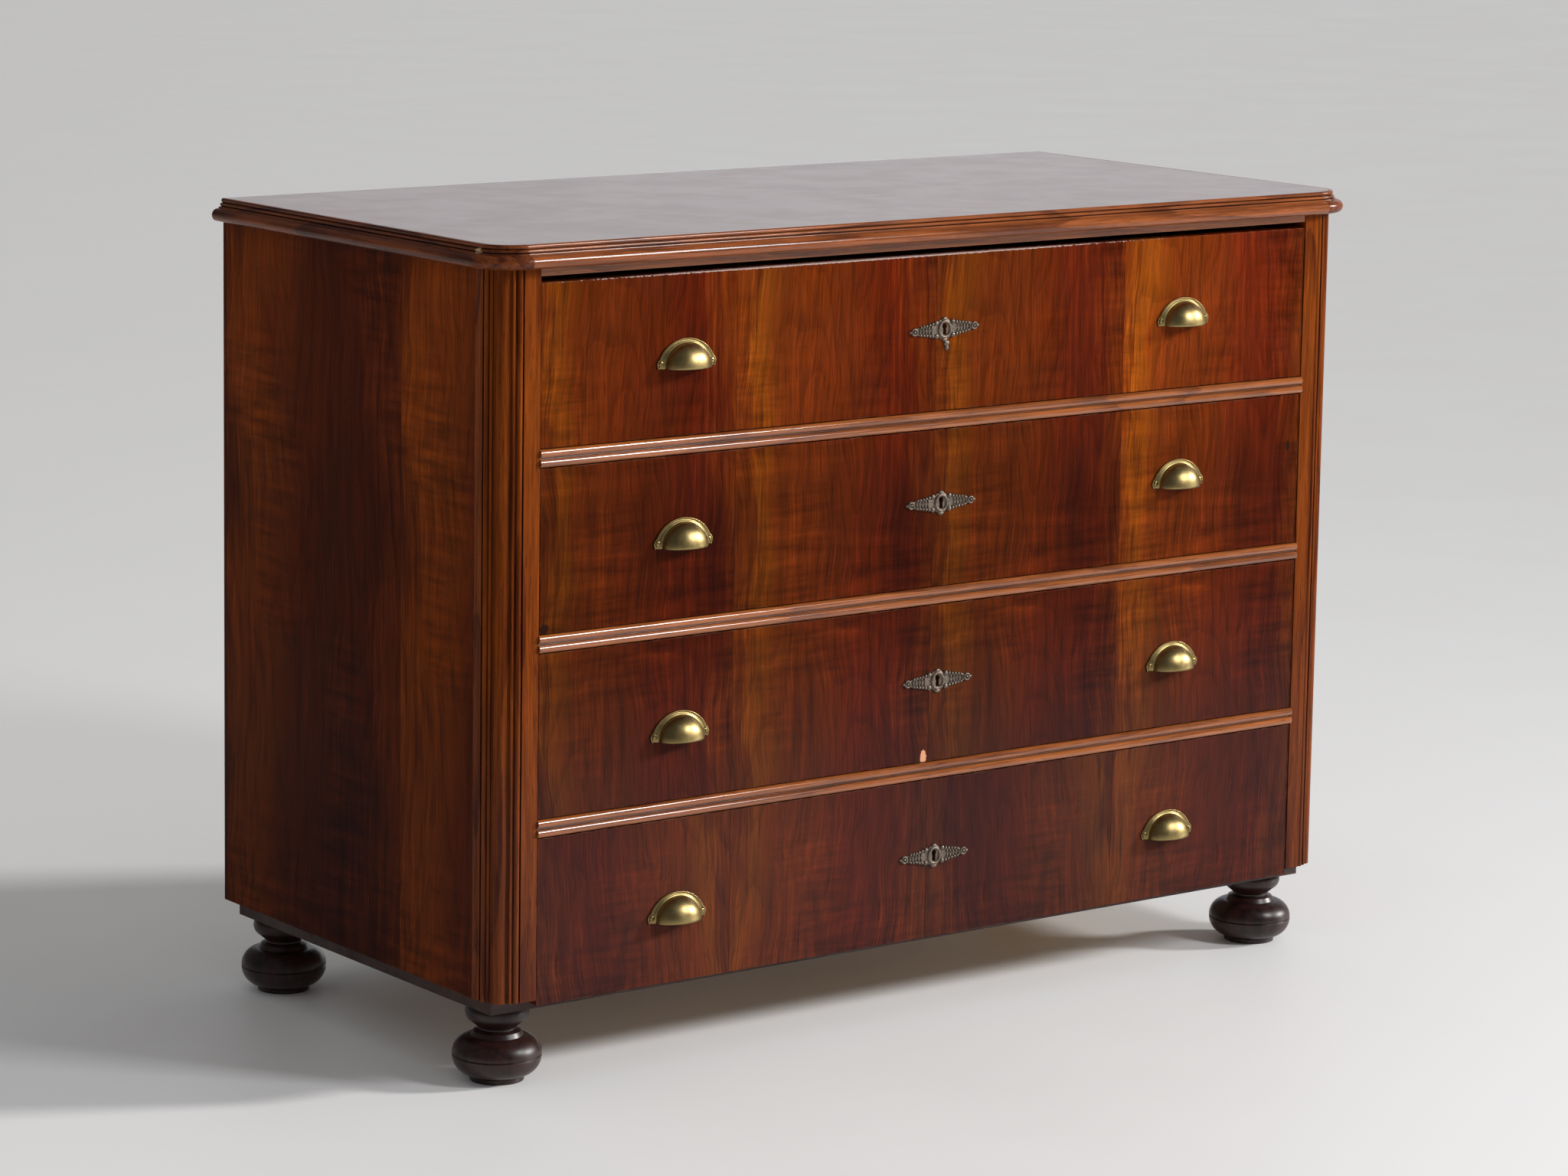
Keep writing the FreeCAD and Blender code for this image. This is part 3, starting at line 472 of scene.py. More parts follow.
@dataclass(frozen=True)
class Finish:
    """What every finish has: a name and a way to make its material."""

    name: str

    def start(self) -> tuple[bpy.types.Material, Graph, Node, Socket]:
        """Begin the material.

        Returns:
            The material, its graph, its surface shader and the point on the piece in metres.
        """
        material = bpy.data.materials.new(self.name)
        material.use_nodes = True
        graph = Graph(material.node_tree)
        shader = next(node for node in material.node_tree.nodes if node.type == "BSDF_PRINCIPLED")
        point = graph.add("ShaderNodeTexCoord").outputs["Object"]
        return material, graph, shader, point

    @staticmethod
    def roughen(graph: Graph, shader: Node, height: Feed, strength: float, distance: float,
                normal: Feed) -> None:
        """Raise a surface's fine relief over its softened edges.

        Args:
            graph: The material's graph.
            shader: The surface shader.
            height: The relief.
            strength: How strongly it shows.
            distance: How high it stands.
            normal: The softened normal.
        """
        bump = graph.add("ShaderNodeBump", {"Strength": strength, "Distance": distance, "Height": height,
                                            "Normal": normal})
        graph.feed(shader.inputs["Normal"], bump.outputs[0])

    @staticmethod
    def marked(graph: Graph, effects: Effects, point: Feed, colour: Feed, marks: Sequence[Mark]) -> Feed:
        """Lay marks over a colour.

        Args:
            graph: The material's graph.
            effects: The shared groups.
            point: The point on the piece.
            colour: The colour below the marks.
            marks: The marks to lay.

        Returns:
            The colour with the marks on it.
        """
        for mark in marks:
            feeds = {"Vector": point, "Centre": mark.centre, "Reach": mark.reach, "Ragged": mark.ragged}
            colour = graph.mix(effects.place(graph, effects.spot, feeds)["Mask"], colour, mark.colour)
        return colour

    def make(self, effects: Effects) -> bpy.types.Material:
        """Make the material."""
        raise NotImplementedError


# A milky painted reflection of the pale floor, laid on polished wood low down: none at the first height,
# its full share at the second.
PAINTED_FLOOR_REFLECTION: Colour = (0.5, 0.5, 0.56)
PAINTED_REFLECTION_HEIGHTS: Span = (0.5, 0.2)


@dataclass(frozen=True)
class Veneer(Finish):
    """Polished walnut veneer, laid as equal leaves side by side.

    The bands are the leaf's own colours from one edge to the other. The grain pushes them sideways by the
    sways, and shades them by the shades, which give the tone at its lowest and at its highest. The tones
    are painted light and shade, the shade below and above the heights. tones_along is painted light and
    shade mixed with the leaves' own tone, at places along the face, no farther than the reach from its
    middle. Low down a painted reflection of the pale floor lies over the wood.
    """

    across: Axis = Axis.X
    leaf_start: float = -0.279
    leaf_width: float = 0.2685
    mirrored_below: float = 0.28
    mirror_step: float = 0.01
    slip: float = 0.020
    bands: tuple[tuple[float, Colour], ...] = ()
    gloss: Span = (0.20, 0.34)
    ior: float = 1.11
    strength: float = 1.0
    grain_across: float = 8.0
    grain_along: float = 1.5
    grain_depth: float = 0.2
    bend: float = 0.05
    rings: float = 20.0
    sways: tuple[tuple[str, float], ...] = (
        ("Drift", 0.3), ("Streak", 0.35), ("Glow", 0.55), ("Fibre", 0.15))
    shades: tuple[tuple[str, float, float], ...] = (
        ("Figure", 0.84, 1.04), ("Glow", 0.30, 1.70), ("Ripple", -0.2, 2.2), ("Streak", 0.00, 2.00),
        ("Fibre", 0.10, 1.90))
    # Painted light and shade by height: the tones below and above the heights.
    heights: Span = (0.58, 0.72)
    tones: Span = (0.66, 0.97)
    reach: float = 0.55
    tones_along: tuple[Span, ...] = ()
    low_fade: float = 0.35
    low_fade_heights: Span = (0.5, 0.25)
    low_fade_places: Span = (-0.3, 0.3)
    painted_reflection: float = 0.02
    pore: Colour = (0.014, 0.004, 0.003)
    pore_strength: float = 0.35
    joint: Colour = (0.010, 0.003, 0.002)
    joint_strength: float = 0.7
    rubbed: Colour = (0.30, 0.15, 0.09)
    wear_strength: float = 0.6
    edge_radius: float = 0.0018
    core_from: float = -0.2425
    core_step: float = 0.0008
    core_dark: Colour = (0.22, 0.115, 0.05)
    core_light: Colour = (0.40, 0.24, 0.115)
    core_roughness: float = 0.6
    bump: float = 0.2
    bump_height: float = 0.0002
    marks: tuple[Mark, ...] = ()

    def make(self, effects: Effects) -> bpy.types.Material:
        """Make the veneer, with bare timber on the inner face of a drawer's front.

        Args:
            effects: The shared groups.

        Returns:
            The material.
        """
        material, graph, shader, point = self.start()
        shader.inputs["IOR"].default_value = self.ior
        x, y, z = graph.split(point)
        position, depth = (x, y) if self.across is Axis.X else (graph.math("MULTIPLY", y, -1.0), x)
        leaf = effects.place(graph, effects.leaves, {"Position": position, "Start": self.leaf_start,
                                                     "Width": self.leaf_width})
        place = self.place_in_leaf(graph, leaf, z)
        slid = graph.math("MULTIPLY", leaf["Number"], self.slip)
        across = graph.math("ADD", graph.math("MULTIPLY", place, self.leaf_width), slid)
        sheet = graph.join(across, graph.math("MULTIPLY", depth, self.grain_depth), z)
        grain = effects.place(graph, effects.grain, {"Vector": sheet, "Across": self.grain_across,
                                                     "Along": self.grain_along, "Rings": self.rings,
                                                     "Bend": self.bend})
        colour = graph.shaded(self.banded(graph, place, grain), self.shade(graph, grain, position, z))
        # Painted reflection of the pale floor, stronger low down.
        colour = graph.mix(graph.range(z, *PAINTED_REFLECTION_HEIGHTS, 0.0, self.painted_reflection), colour, PAINTED_FLOOR_REFLECTION)
        colour = graph.part_mix(grain["Pores"], self.pore_strength, colour, self.pore)
        colour = graph.part_mix(leaf["Joint"], self.joint_strength, colour, self.joint)
        wear = effects.place(graph, effects.wear, {"Vector": point, "Radius": self.edge_radius})
        colour = graph.part_mix(wear["Rubbed"], self.wear_strength, colour, self.rubbed)
        colour = self.marked(graph, effects, point, colour, self.marks)
        handling = effects.place(graph, effects.handling, {"Vector": point, "Low": self.gloss[0],
                                                           "High": self.gloss[1]})
        gloss = handling["Gloss"]
        if self.across is Axis.X:
            bare = graph.range(y, self.core_from - self.core_step, self.core_from)
            timber = graph.mix(graph.range(grain["Streak"], *NOISE_SPAN), self.core_dark, self.core_light)
            colour = graph.mix(bare, colour, timber)
            gloss = graph.math("MAXIMUM", gloss, graph.math("MULTIPLY", bare, self.core_roughness))
        graph.feed(shader.inputs["Base Color"], colour)
        graph.feed(shader.inputs["Roughness"], gloss)
        self.roughen(graph, shader, grain["Fibre"], self.bump, self.bump_height, wear["Normal"])
        return material

    def place_in_leaf(self, graph: Graph, leaf: dict[str, Socket], z: Feed) -> Socket:
        """Find the place in a leaf, which is laid the same way each time, but turned over low down.

        Args:
            graph: The material's graph.
            leaf: What the leaves' group gives.
            z: The height.

        Returns:
            The place across the leaf, from 0 to 1.
        """
        low = graph.range(z, self.mirrored_below, self.mirrored_below - self.mirror_step)
        change = graph.math("SUBTRACT", leaf["Mirrored"], leaf["Place"])
        return graph.math("MULTIPLY_ADD", change, low, leaf["Place"])

    def banded(self, graph: Graph, place: Feed, grain: dict[str, Socket]) -> Socket:
        """Colour the leaf by its bands, pushed sideways by the grain.

        Args:
            graph: The material's graph.
            place: The place across the leaf.
            grain: What the grain's group gives.

        Returns:
            The colour before any shade.
        """
        for part, sway in self.sways:
            pushed = graph.math("MULTIPLY_ADD", grain[part], sway, -NOISE_MIDDLE * sway)
            place = graph.math("ADD", place, pushed)
        return graph.ramp(place, self.bands)

    def shade(self, graph: Graph, grain: dict[str, Socket], position: Feed, z: Feed) -> Socket:
        """Work out how light the veneer is: painted light and shade by height, painted light and shade with
        the leaves' own tone along the face, and the grain.

        Args:
            graph: The material's graph.
            grain: What the grain's group gives.
            position: The place along the face.
            z: The height.

        Returns:
            What the colour is multiplied by.
        """
        # Painted light and shade: darker below the heights, lighter above them.
        shade = graph.range(z, *self.heights, *self.tones)
        # The ramp runs from 0 at minus the reach to 1 at the reach.
        along = graph.math("MULTIPLY_ADD", position, 0.5 / self.reach, 0.5)
        # Painted light and shade along the face, mixed with the leaves' own tone.
        stops = [(0.5 + 0.5 * spot / self.reach, (tone, tone, tone)) for spot, tone in self.tones_along]
        shade = graph.math("MULTIPLY", shade, graph.ramp(along, stops))
        fade = graph.math("MULTIPLY", graph.range(z, *self.low_fade_heights),
                          graph.range(position, *self.low_fade_places))
        shade = graph.math("MULTIPLY", shade, graph.math("MULTIPLY_ADD", fade, -self.low_fade, 1.0))
        for part, low, high in self.shades:
            spread = graph.math("MULTIPLY_ADD", grain[part], (high - low) * self.strength,
                                1.0 - (1.0 - low) * self.strength)
            shade = graph.math("MULTIPLY", shade, spread)
        return shade


@dataclass(frozen=True)
class Board(Finish):
    """Solid wood with its grain along one axis, polished or bare."""

    along: Axis = Axis.X
    dark: Colour = (0.055, 0.012, 0.005)
    light: Colour = (0.19, 0.045, 0.010)
    # Dark in the pores, and painted shade in the hollows.
    grime_and_shade: Colour = (0.010, 0.003, 0.002)
    rubbed: Colour = (0.34, 0.14, 0.06)
    gloss: Span = (0.16, 0.3)
    ior: float = 1.45
    coat: float = 0.0
    coat_gloss: float = 0.08
    # Painted shade in hollows: hollow is how far it looks for nearby surfaces, hollow_strength how dark it
    # gets.
    hollow: float = 0.006
    hollow_strength: float = 0.8
    wear_strength: float = 0.3
    edge_radius: float = 0.0009
    pore_strength: float = 0.5
    rings: float = 9.0
    grain_across: float = 14.0
    grain_along: float = 1.4
    streak_share: float = 0.55
    figure_share: float = 0.35
    drift_share: float = 0.3
    blend_span: Span = (0.15, 1.05)
    fibre_tones: Span = (0.75, 1.2)
    dust: float = 0.0
    dust_colour: Colour = (0.45, 0.42, 0.38)
    low_tone: float = 1.0
    low_heights: Span = (0.15, 0.55)
    painted_reflection: float = 0.0
    bump: float = 0.25
    bump_height: float = 0.0003
    marks: tuple[Mark, ...] = ()

    def make(self, effects: Effects) -> bpy.types.Material:
        """Make the wood, with dark pores, painted shade in its hollows and rubbed edges.

        Args:
            effects: The shared groups.

        Returns:
            The material.
        """
        material, graph, shader, point = self.start()
        shader.inputs["IOR"].default_value = self.ior
        shader.inputs["Coat Weight"].default_value = self.coat
        shader.inputs["Coat Roughness"].default_value = self.coat_gloss
        x, y, z = graph.split(point)
        turned = {Axis.X: (y, z, x), Axis.Y: (x, z, y), Axis.Z: (x, y, z)}[self.along]
        grain = effects.place(graph, effects.grain, {"Vector": graph.join(*turned),
                                                     "Across": self.grain_across,
                                                     "Along": self.grain_along, "Rings": self.rings})
        colour = graph.shaded(self.figured(graph, grain), self.shade(graph, grain, z))
        # Painted reflection of the pale floor, stronger low down.
        if self.painted_reflection > 0.0:
            colour = graph.mix(graph.range(z, *PAINTED_REFLECTION_HEIGHTS, 0.0, self.painted_reflection), colour, PAINTED_FLOOR_REFLECTION)
        colour = graph.part_mix(grain["Pores"], self.pore_strength, colour, self.grime_and_shade)
        wear = effects.place(graph, effects.wear, {"Vector": point, "Radius": self.edge_radius,
                                                   "Hollow": self.hollow})
        colour = graph.part_mix(wear["Rubbed"], self.wear_strength, colour, self.rubbed)
        # Painted shade in the hollows, where little light reaches.
        colour = graph.part_mix(wear["Hollow"], self.hollow_strength, colour, self.grime_and_shade)
        colour = self.marked(graph, effects, point, colour, self.marks)
        handling = effects.place(graph, effects.handling, {"Vector": point, "Low": self.gloss[0],
                                                           "High": self.gloss[1]})
        if self.dust > 0.0:
            colour = graph.part_mix(handling["Dust"], self.dust, colour, self.dust_colour)
        graph.feed(shader.inputs["Base Color"], colour)
        graph.feed(shader.inputs["Roughness"], handling["Gloss"])
        self.roughen(graph, shader, grain["Fibre"], self.bump, self.bump_height, wear["Normal"])
        return material

    def figured(self, graph: Graph, grain: dict[str, Socket]) -> Socket:
        """Mix the dark and the light wood by the grain.

        Args:
            graph: The material's graph.
            grain: What the grain's group gives.

        Returns:
            The colour.
        """
        streaks = graph.range(grain["Streak"], *NOISE_SPAN, 0.0, self.streak_share)
        drifts = graph.math("MULTIPLY_ADD", grain["Drift"], self.drift_share, streaks)
        blend = graph.math("MULTIPLY_ADD", grain["Figure"], self.figure_share, drifts)
        return graph.mix(graph.range(blend, *self.blend_span), self.dark, self.light)

    def shade(self, graph: Graph, grain: dict[str, Socket], z: Feed) -> Socket:
        """Work out how light the wood is, by its fibres and by height.

        Args:
            graph: The material's graph.
            grain: What the grain's group gives.
            z: The height.

        Returns:
            What the colour is multiplied by.
        """
        shade = graph.range(grain["Fibre"], *NOISE_SPAN, *self.fibre_tones)
        if self.low_tone < 1.0:
            shade = graph.math("MULTIPLY", shade, graph.range(z, *self.low_heights, self.low_tone, 1.0))
        return shade


@dataclass(frozen=True)
class Metal(Finish):
    """Old metal: bright where it is rubbed, dull, and dark in its hollows with grime and painted shade."""

    base: Colour = (0.56, 0.42, 0.18)
    dull: Colour = (0.30, 0.20, 0.08)
    grime_and_shade: Colour = (0.06, 0.04, 0.02)
    metallic: float = 1.0
    gloss: Span = (0.22, 0.42)
    gloss_clouds: float = 120.0
    mottle: float = 90.0
    mottle_detail: float = 4.0
    mottle_roughness: float = 0.65
    mottle_span: Span = (0.4, 0.7)
    hollow: float = 0.004
    edge_radius: float = 0.0004
    patchiness: float = 200.0
    wear_strength: float = 0.6
    bump: float = 0.15
    bump_height: float = 0.0002

    def make(self, effects: Effects) -> bpy.types.Material:
        """Make the metal, mottled, with grime and painted shade in its hollows.

        Args:
            effects: The shared groups.

        Returns:
            The material.
        """
        material, graph, shader, point = self.start()
        shader.inputs["Metallic"].default_value = self.metallic
        cloud = graph.noise(point, self.mottle, self.mottle_detail, self.mottle_roughness)
        colour = graph.mix(graph.range(cloud, *self.mottle_span), self.base, self.dull)
        wear = effects.place(graph, effects.wear, {"Vector": point, "Radius": self.edge_radius,
                                                   "Hollow": self.hollow, "Patchiness": self.patchiness})
        # Grime and painted shade in the hollows.
        colour = graph.mix(wear["Hollow"], colour, self.grime_and_shade)
        colour = graph.part_mix(wear["Rubbed"], self.wear_strength, colour, self.base)
        graph.feed(shader.inputs["Base Color"], colour)
        handling = effects.place(graph, effects.handling, {"Vector": point, "Scale": self.gloss_clouds,
                                                           "Low": self.gloss[0], "High": self.gloss[1]})
        graph.feed(shader.inputs["Roughness"], handling["Gloss"])
        self.roughen(graph, shader, cloud, self.bump, self.bump_height, wear["Normal"])
        return material


@dataclass(frozen=True)
class PaleFloor(Finish):
    """A pale floor with faint cloudy wear."""

    pale: Colour = (0.86, 0.855, 0.85)
    worn_share: float = 0.985
    clouds: float = 2.2
    cloud_detail: float = 5.0
    cloud_roughness: float = 0.6
    worn_span: Span = (0.35, 0.7)
    gloss: Span = (0.45, 0.6)

    def make(self, effects: Effects) -> bpy.types.Material:
        """Make the floor, which needs none of the shared groups.

        Args:
            effects: The shared groups.

        Returns:
            The material.
        """
        material, graph, shader, point = self.start()
        cloud = graph.noise(point, self.clouds, self.cloud_detail, self.cloud_roughness)
        worn = tuple(self.worn_share * part for part in self.pale)
        colour = graph.mix(graph.range(cloud, *self.worn_span), self.pale, worn)
        graph.feed(shader.inputs["Base Color"], colour)
        graph.feed(shader.inputs["Roughness"], graph.range(cloud, *NOISE_SPAN, *self.gloss))
        return material


BARE_TIMBER: Colour = (0.62, 0.30, 0.17)
# Pale rubbed wear with a painted highlight, for the upper edge of the first front.
WORN_EDGE_AND_HIGHLIGHT: Colour = (0.42, 0.30, 0.26)
FILLER: Colour = (0.50, 0.36, 0.22)
DENT: Colour = (0.02, 0.006, 0.003)
SEAM: Colour = (0.030, 0.018, 0.010)

# The chip in the third front, a pale line on the upper edge of the first that is painted highlight and
# rubbed wear, and two dents.
FRONT_MARKS = (
    Mark((-0.017, -0.2635, 0.2965), (0.0045, 0.01, 0.0085), BARE_TIMBER, 0.35),
    Mark((-0.10, -0.2635, 0.8507), (0.36, 0.01, 0.0011), WORN_EDGE_AND_HIGHLIGHT, 0.9),
    Mark((0.512, -0.2635, 0.600), (0.003, 0.01, 0.006), DENT),
    Mark((-0.522, -0.2635, 0.4905), (0.006, 0.01, 0.006), DENT),
)
# Two spots of filler at the left corner.
MOULDING_MARKS = (
    Mark((-0.584, -0.235, 0.884), (0.006, 0.006, 0.004), FILLER),
    Mark((-0.580, -0.255, 0.872), (0.006, 0.006, 0.003), FILLER),
)
# The seams between the three boards of the back.
BACK_SEAMS = tuple(Mark((side * 0.1900, 0.2855, 0.486), (0.0016, 0.02, 0.43), SEAM, 0.2)
                   for side in SIDES)

FRONT_BANDS = (
    (0.0, (0.196, 0.0340, 0.0029)),
    (0.05, (0.208, 0.0390, 0.0029)),
    (0.09, (0.260, 0.0570, 0.0033)),
    (0.16, (0.250, 0.0530, 0.0032)),
    (0.24, (0.188, 0.0315, 0.0028)),
    (0.42, (0.185, 0.0285, 0.0027)),
    (0.57, (0.155, 0.0205, 0.0024)),
    (0.71, (0.130, 0.0140, 0.0021)),
    (0.84, (0.130, 0.0140, 0.0021)),
    (1.0, (0.182, 0.0300, 0.0027)),
)
# Painted light and shade along the front, mixed with each leaf's own tone.
FRONT_TONES = ((-0.54, 0.50), (-0.40, 0.56), (-0.30, 0.66), (-0.22, 0.62), (-0.15, 0.69), (-0.06, 0.70),
               (-0.01, 0.52), (0.05, 0.53), (0.12, 0.65), (0.20, 0.67), (0.257, 0.62), (0.2585, 0.89),
               (0.36, 0.83), (0.45, 0.87), (0.54, 0.60))
SIDE_BANDS = (
    (0.0, (0.088, 0.0145, 0.0012)),
    (0.12, (0.140, 0.0260, 0.0013)),
    (0.26, (0.138, 0.0250, 0.0013)),
    (0.40, (0.080, 0.0120, 0.0010)),
    (0.60, (0.060, 0.0090, 0.0009)),
    (0.86, (0.052, 0.0074, 0.0009)),
    (1.0, (0.080, 0.0125, 0.0010)),
)
# Painted light and shade along the side, darker towards the back.
SIDE_TONES = ((-0.285, 0.724), (0.0, 0.865), (0.265, 0.999))

PINE = Board("drawer_pine_across", light=(0.56, 0.38, 0.20), dark=(0.36, 0.20, 0.09),
             grime_and_shade=(0.12, 0.07, 0.03), rubbed=(0.62, 0.46, 0.28), gloss=(0.5, 0.7), hollow=0.02,
             hollow_strength=0.5, pore_strength=0.15, rings=12.0, dust=0.2)


class Look(Enum):
    """Every finish in the scene."""

    FRONT = Veneer("figured_walnut_veneer", bands=FRONT_BANDS, tones_along=FRONT_TONES, marks=FRONT_MARKS)
    # The side's tones are painted light and shade, lighter higher up.
    SIDE = Veneer("side_walnut_veneer", across=Axis.Y, leaf_start=-0.28, leaf_width=0.36,
                  mirrored_below=0.0, bands=SIDE_BANDS, ior=1.08, strength=0.9, gloss=(0.26, 0.4),
                  heights=(0.05, 0.86), tones=(0.75, 1.3), tones_along=SIDE_TONES, low_fade=0.0, painted_reflection=0.01)
    TOP = Board("polished_walnut_top", dark=(0.105, 0.042, 0.025), light=(0.168, 0.074, 0.045), coat=0.3,
                gloss=(0.18, 0.23), hollow_strength=0.0, wear_strength=0.1, grain_across=6.0, dust=0.06,
                bump=0.08)
    MOULDING_FRONT = Board("moulding_walnut_long", dark=(0.10, 0.024, 0.006), light=(0.28, 0.075, 0.018),
                           gloss=(0.13, 0.2), ior=1.3, coat=0.38, coat_gloss=0.06)
    MOULDING_SIDE = Board("moulding_walnut_short", along=Axis.Y, gloss=(0.2, 0.3), ior=1.3,
                          marks=MOULDING_MARKS)
    RAIL = Board("rail_walnut", dark=(0.14, 0.035, 0.009), light=(0.31, 0.088, 0.018), gloss=(0.11, 0.18),
                 coat=0.7, coat_gloss=0.07, hollow=0.003, hollow_strength=0.7)
    POST = Board("post_walnut", along=Axis.Z, light=(0.20, 0.042, 0.004), dark=(0.07, 0.012, 0.002),
                 ior=1.12, gloss=(0.2, 0.32), hollow=0.005, hollow_strength=0.85, wear_strength=0.15,
                 low_tone=0.78, painted_reflection=0.018)
    BASE = Board("base_stained", light=(0.045, 0.014, 0.007), dark=(0.018, 0.006, 0.004), gloss=(0.4, 0.6))
    FOOT = Board("ebonised_foot", along=Axis.Z, dark=(0.010, 0.0038, 0.0035), light=(0.030, 0.010, 0.008),
                 rubbed=(0.18, 0.06, 0.04), gloss=(0.24, 0.42), hollow_strength=0.6, wear_strength=0.4,
                 bump=0.15)
    PINE_ACROSS = PINE
    PINE_LENGTHWAYS = replace(PINE, name="drawer_pine_lengthways", along=Axis.Y)
    PINE_UPRIGHT = replace(PINE, name="back_pine_upright", along=Axis.Z, light=(0.34, 0.21, 0.11),
                           dark=(0.24, 0.138, 0.066), grime_and_shade=(0.07, 0.04, 0.02), rubbed=(0.5, 0.36, 0.2),
                           gloss=(0.55, 0.75), hollow_strength=0.6, pore_strength=0.2, rings=14.0, dust=0.0,
                           marks=BACK_SEAMS)
    BRASS = Metal("aged_brass_pressed", base=(0.33, 0.245, 0.10), dull=(0.25, 0.18, 0.073),
                  grime_and_shade=(0.05, 0.033, 0.016), gloss=(0.31, 0.40), mottle=45.0, bump=0.03)
    CASTING = Metal("patinated_casting", base=(0.20, 0.155, 0.12), dull=(0.045, 0.033, 0.025),
                    grime_and_shade=(0.008, 0.005, 0.004), metallic=0.75, gloss=(0.36, 0.55), mottle=620.0,
                    hollow=0.0030, bump=0.4)
    NAIL = Metal("nail_iron_rusty", base=(0.07, 0.055, 0.045), dull=(0.06, 0.028, 0.015),
                 grime_and_shade=(0.02, 0.012, 0.008), metallic=0.4, gloss=(0.5, 0.7))
    IRON = Metal("lock_iron_dull", base=(0.30, 0.29, 0.28), dull=(0.16, 0.11, 0.08),
                 grime_and_shade=(0.04, 0.03, 0.02), gloss=(0.35, 0.6))
    FLOOR = PaleFloor("pale_floor")


class Paint:
    """Makes each finish once and puts it on pieces."""

    def __init__(self) -> None:
        """Make the shared effects."""
        self.effects = Effects()
        self.made: dict[Look, bpy.types.Material] = {}

    def coat(self, piece: bpy.types.Object, look: Look) -> None:
        """Give a piece one finish all over.

        Args:
            piece: The piece.
            look: Its finish.
        """
        if look not in self.made:
            self.made[look] = look.value.make(self.effects)
        materials = piece.data.materials
        if len(materials) == 0:
            materials.append(self.made[look])
        for index in range(len(materials)):
            materials[index] = self.made[look]


def piece_from(name: str, points: Sequence, faces: Sequence, body: str,
               smooth_angle: float) -> bpy.types.Object:
    """Make a piece that rides on a body.

    Args:
        name: The piece's name.
        points: Its points in metres.
        faces: Its faces as rows of point numbers.
        body: The body that it rides on.
        smooth_angle: Edges that turn more than this many degrees stay sharp.

    Returns:
        The new piece.
    """
    mesh = bpy.data.meshes.new(name)
    mesh.from_pydata([tuple(point) for point in points], [], [tuple(face) for face in faces])
    mesh.polygons.foreach_set("use_smooth", [True] * len(mesh.polygons))
    mesh.set_sharp_from_angle(angle=math.radians(smooth_angle))
    made = bpy.data.objects.new(name, mesh)
    bpy.context.scene.collection.objects.link(made)
    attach(made, body)
    return made


Shape = Callable[[np.ndarray, np.ndarray], tuple[np.ndarray, np.ndarray]]
# The four corners of every cell in a grid of points.
CELL_CORNERS = (np.s_[:-1, :-1], np.s_[1:, :-1], np.s_[1:, 1:], np.s_[:-1, 1:])
# A slope is measured over this share of a step, and a rim is moved this many times.
NUDGE_SHARE = 0.05
SNAP_ROUNDS = 3


def snapped(shape: Shape, x: np.ndarray, z: np.ndarray, rim: np.ndarray,
            step: float) -> tuple[np.ndarray, np.ndarray]:
    """Move the points at the rim of a relief onto its outline.

    Args:
        shape: Gives for points (x, z) how far inside the outline they are, and how high they stand.
        x: The points' places across.
        z: The points' heights.
        rim: Which points are at the rim.
        step: The distance between points, and the most that one round moves them.

    Returns:
        The new places and heights.
    """
    nudge = step * NUDGE_SHARE
    for _ in range(SNAP_ROUNDS):
        value = shape(x, z)[0]
        slope_x = (shape(x + nudge, z)[0] - value) / nudge
        slope_z = (shape(x, z + nudge)[0] - value) / nudge
        length = slope_x ** 2 + slope_z ** 2 + 1.0
        x = np.where(rim, x - np.clip(value * slope_x / length, -step, step), x)
        z = np.where(rim, z - np.clip(value * slope_z / length, -step, step), z)
    return x, z


def keep_used(points: np.ndarray, faces: list) -> tuple[np.ndarray, list]:
    """Drop points that no face uses.

    Args:
        points: The points.
        faces: The faces as rows of point numbers.

    Returns:
        The points that are left, and the faces with their new numbers.
    """
    used = sorted({number for face in faces for number in face})
    renumber = {old: new for new, old in enumerate(used)}
    return points[used], [[renumber[number] for number in face] for face in faces]


def relief(shape: Shape, reach: Span, step: float) -> tuple[np.ndarray, list]:
    """Raise a relief from a flat open back, facing -Y.

    Args:
        shape: Gives for points (x, z) how far inside the outline they are, and how high they stand.
        reach: Half the width and half the height to look at.
        step: The distance between points.

    Returns:
        The points and faces, with the back at y = 0.
    """
    places = np.arange(-reach[0], reach[0], step)
    levels = np.arange(-reach[1], reach[1], step)
    x, z = np.meshgrid(places, levels, indexing="ij")
    inside = shape(x, z)[0] > 0.0
    cells = np.logical_and.reduce([inside[corner] for corner in CELL_CORNERS])
    count = np.zeros(x.shape, int)
    for corner in CELL_CORNERS:
        count[corner] += cells
    kept = count > 0
    x, z = snapped(shape, x, z, kept & (count < len(CELL_CORNERS)), step)
    height = shape(x, z)[1]
    numbers = np.full(x.shape, -1)
    numbers[kept] = np.arange(int(kept.sum()))
    points = [(a, -h, b) for a, h, b in zip(x[kept], height[kept], z[kept])]
    base = len(points)
    points += [(a, 0.0, b) for a, b in zip(x[kept], z[kept])]
    faces = []
    rows, columns = cells.shape
    for i, j in zip(*np.nonzero(cells)):
        corners = [numbers[i, j], numbers[i + 1, j], numbers[i + 1, j + 1], numbers[i, j + 1]]
        faces.append(corners)
        # Where the next cell is missing, a wall goes down to the back.
        for side, (u, v) in enumerate(((i, j - 1), (i + 1, j), (i, j + 1), (i - 1, j))):
            if not (0 <= u < rows and 0 <= v < columns and cells[u, v]):
                first, second = corners[side], corners[(side + 1) % len(corners)]
                faces.append([second, first, first + base, second + base])
    return keep_used(np.array(points), faces)


def moved(points: np.ndarray, matrix: Matrix) -> np.ndarray:
    """Turn and shift points by a matrix."""
    turn = np.array(matrix)
    return points @ turn[:3, :3].T + turn[:3, 3]


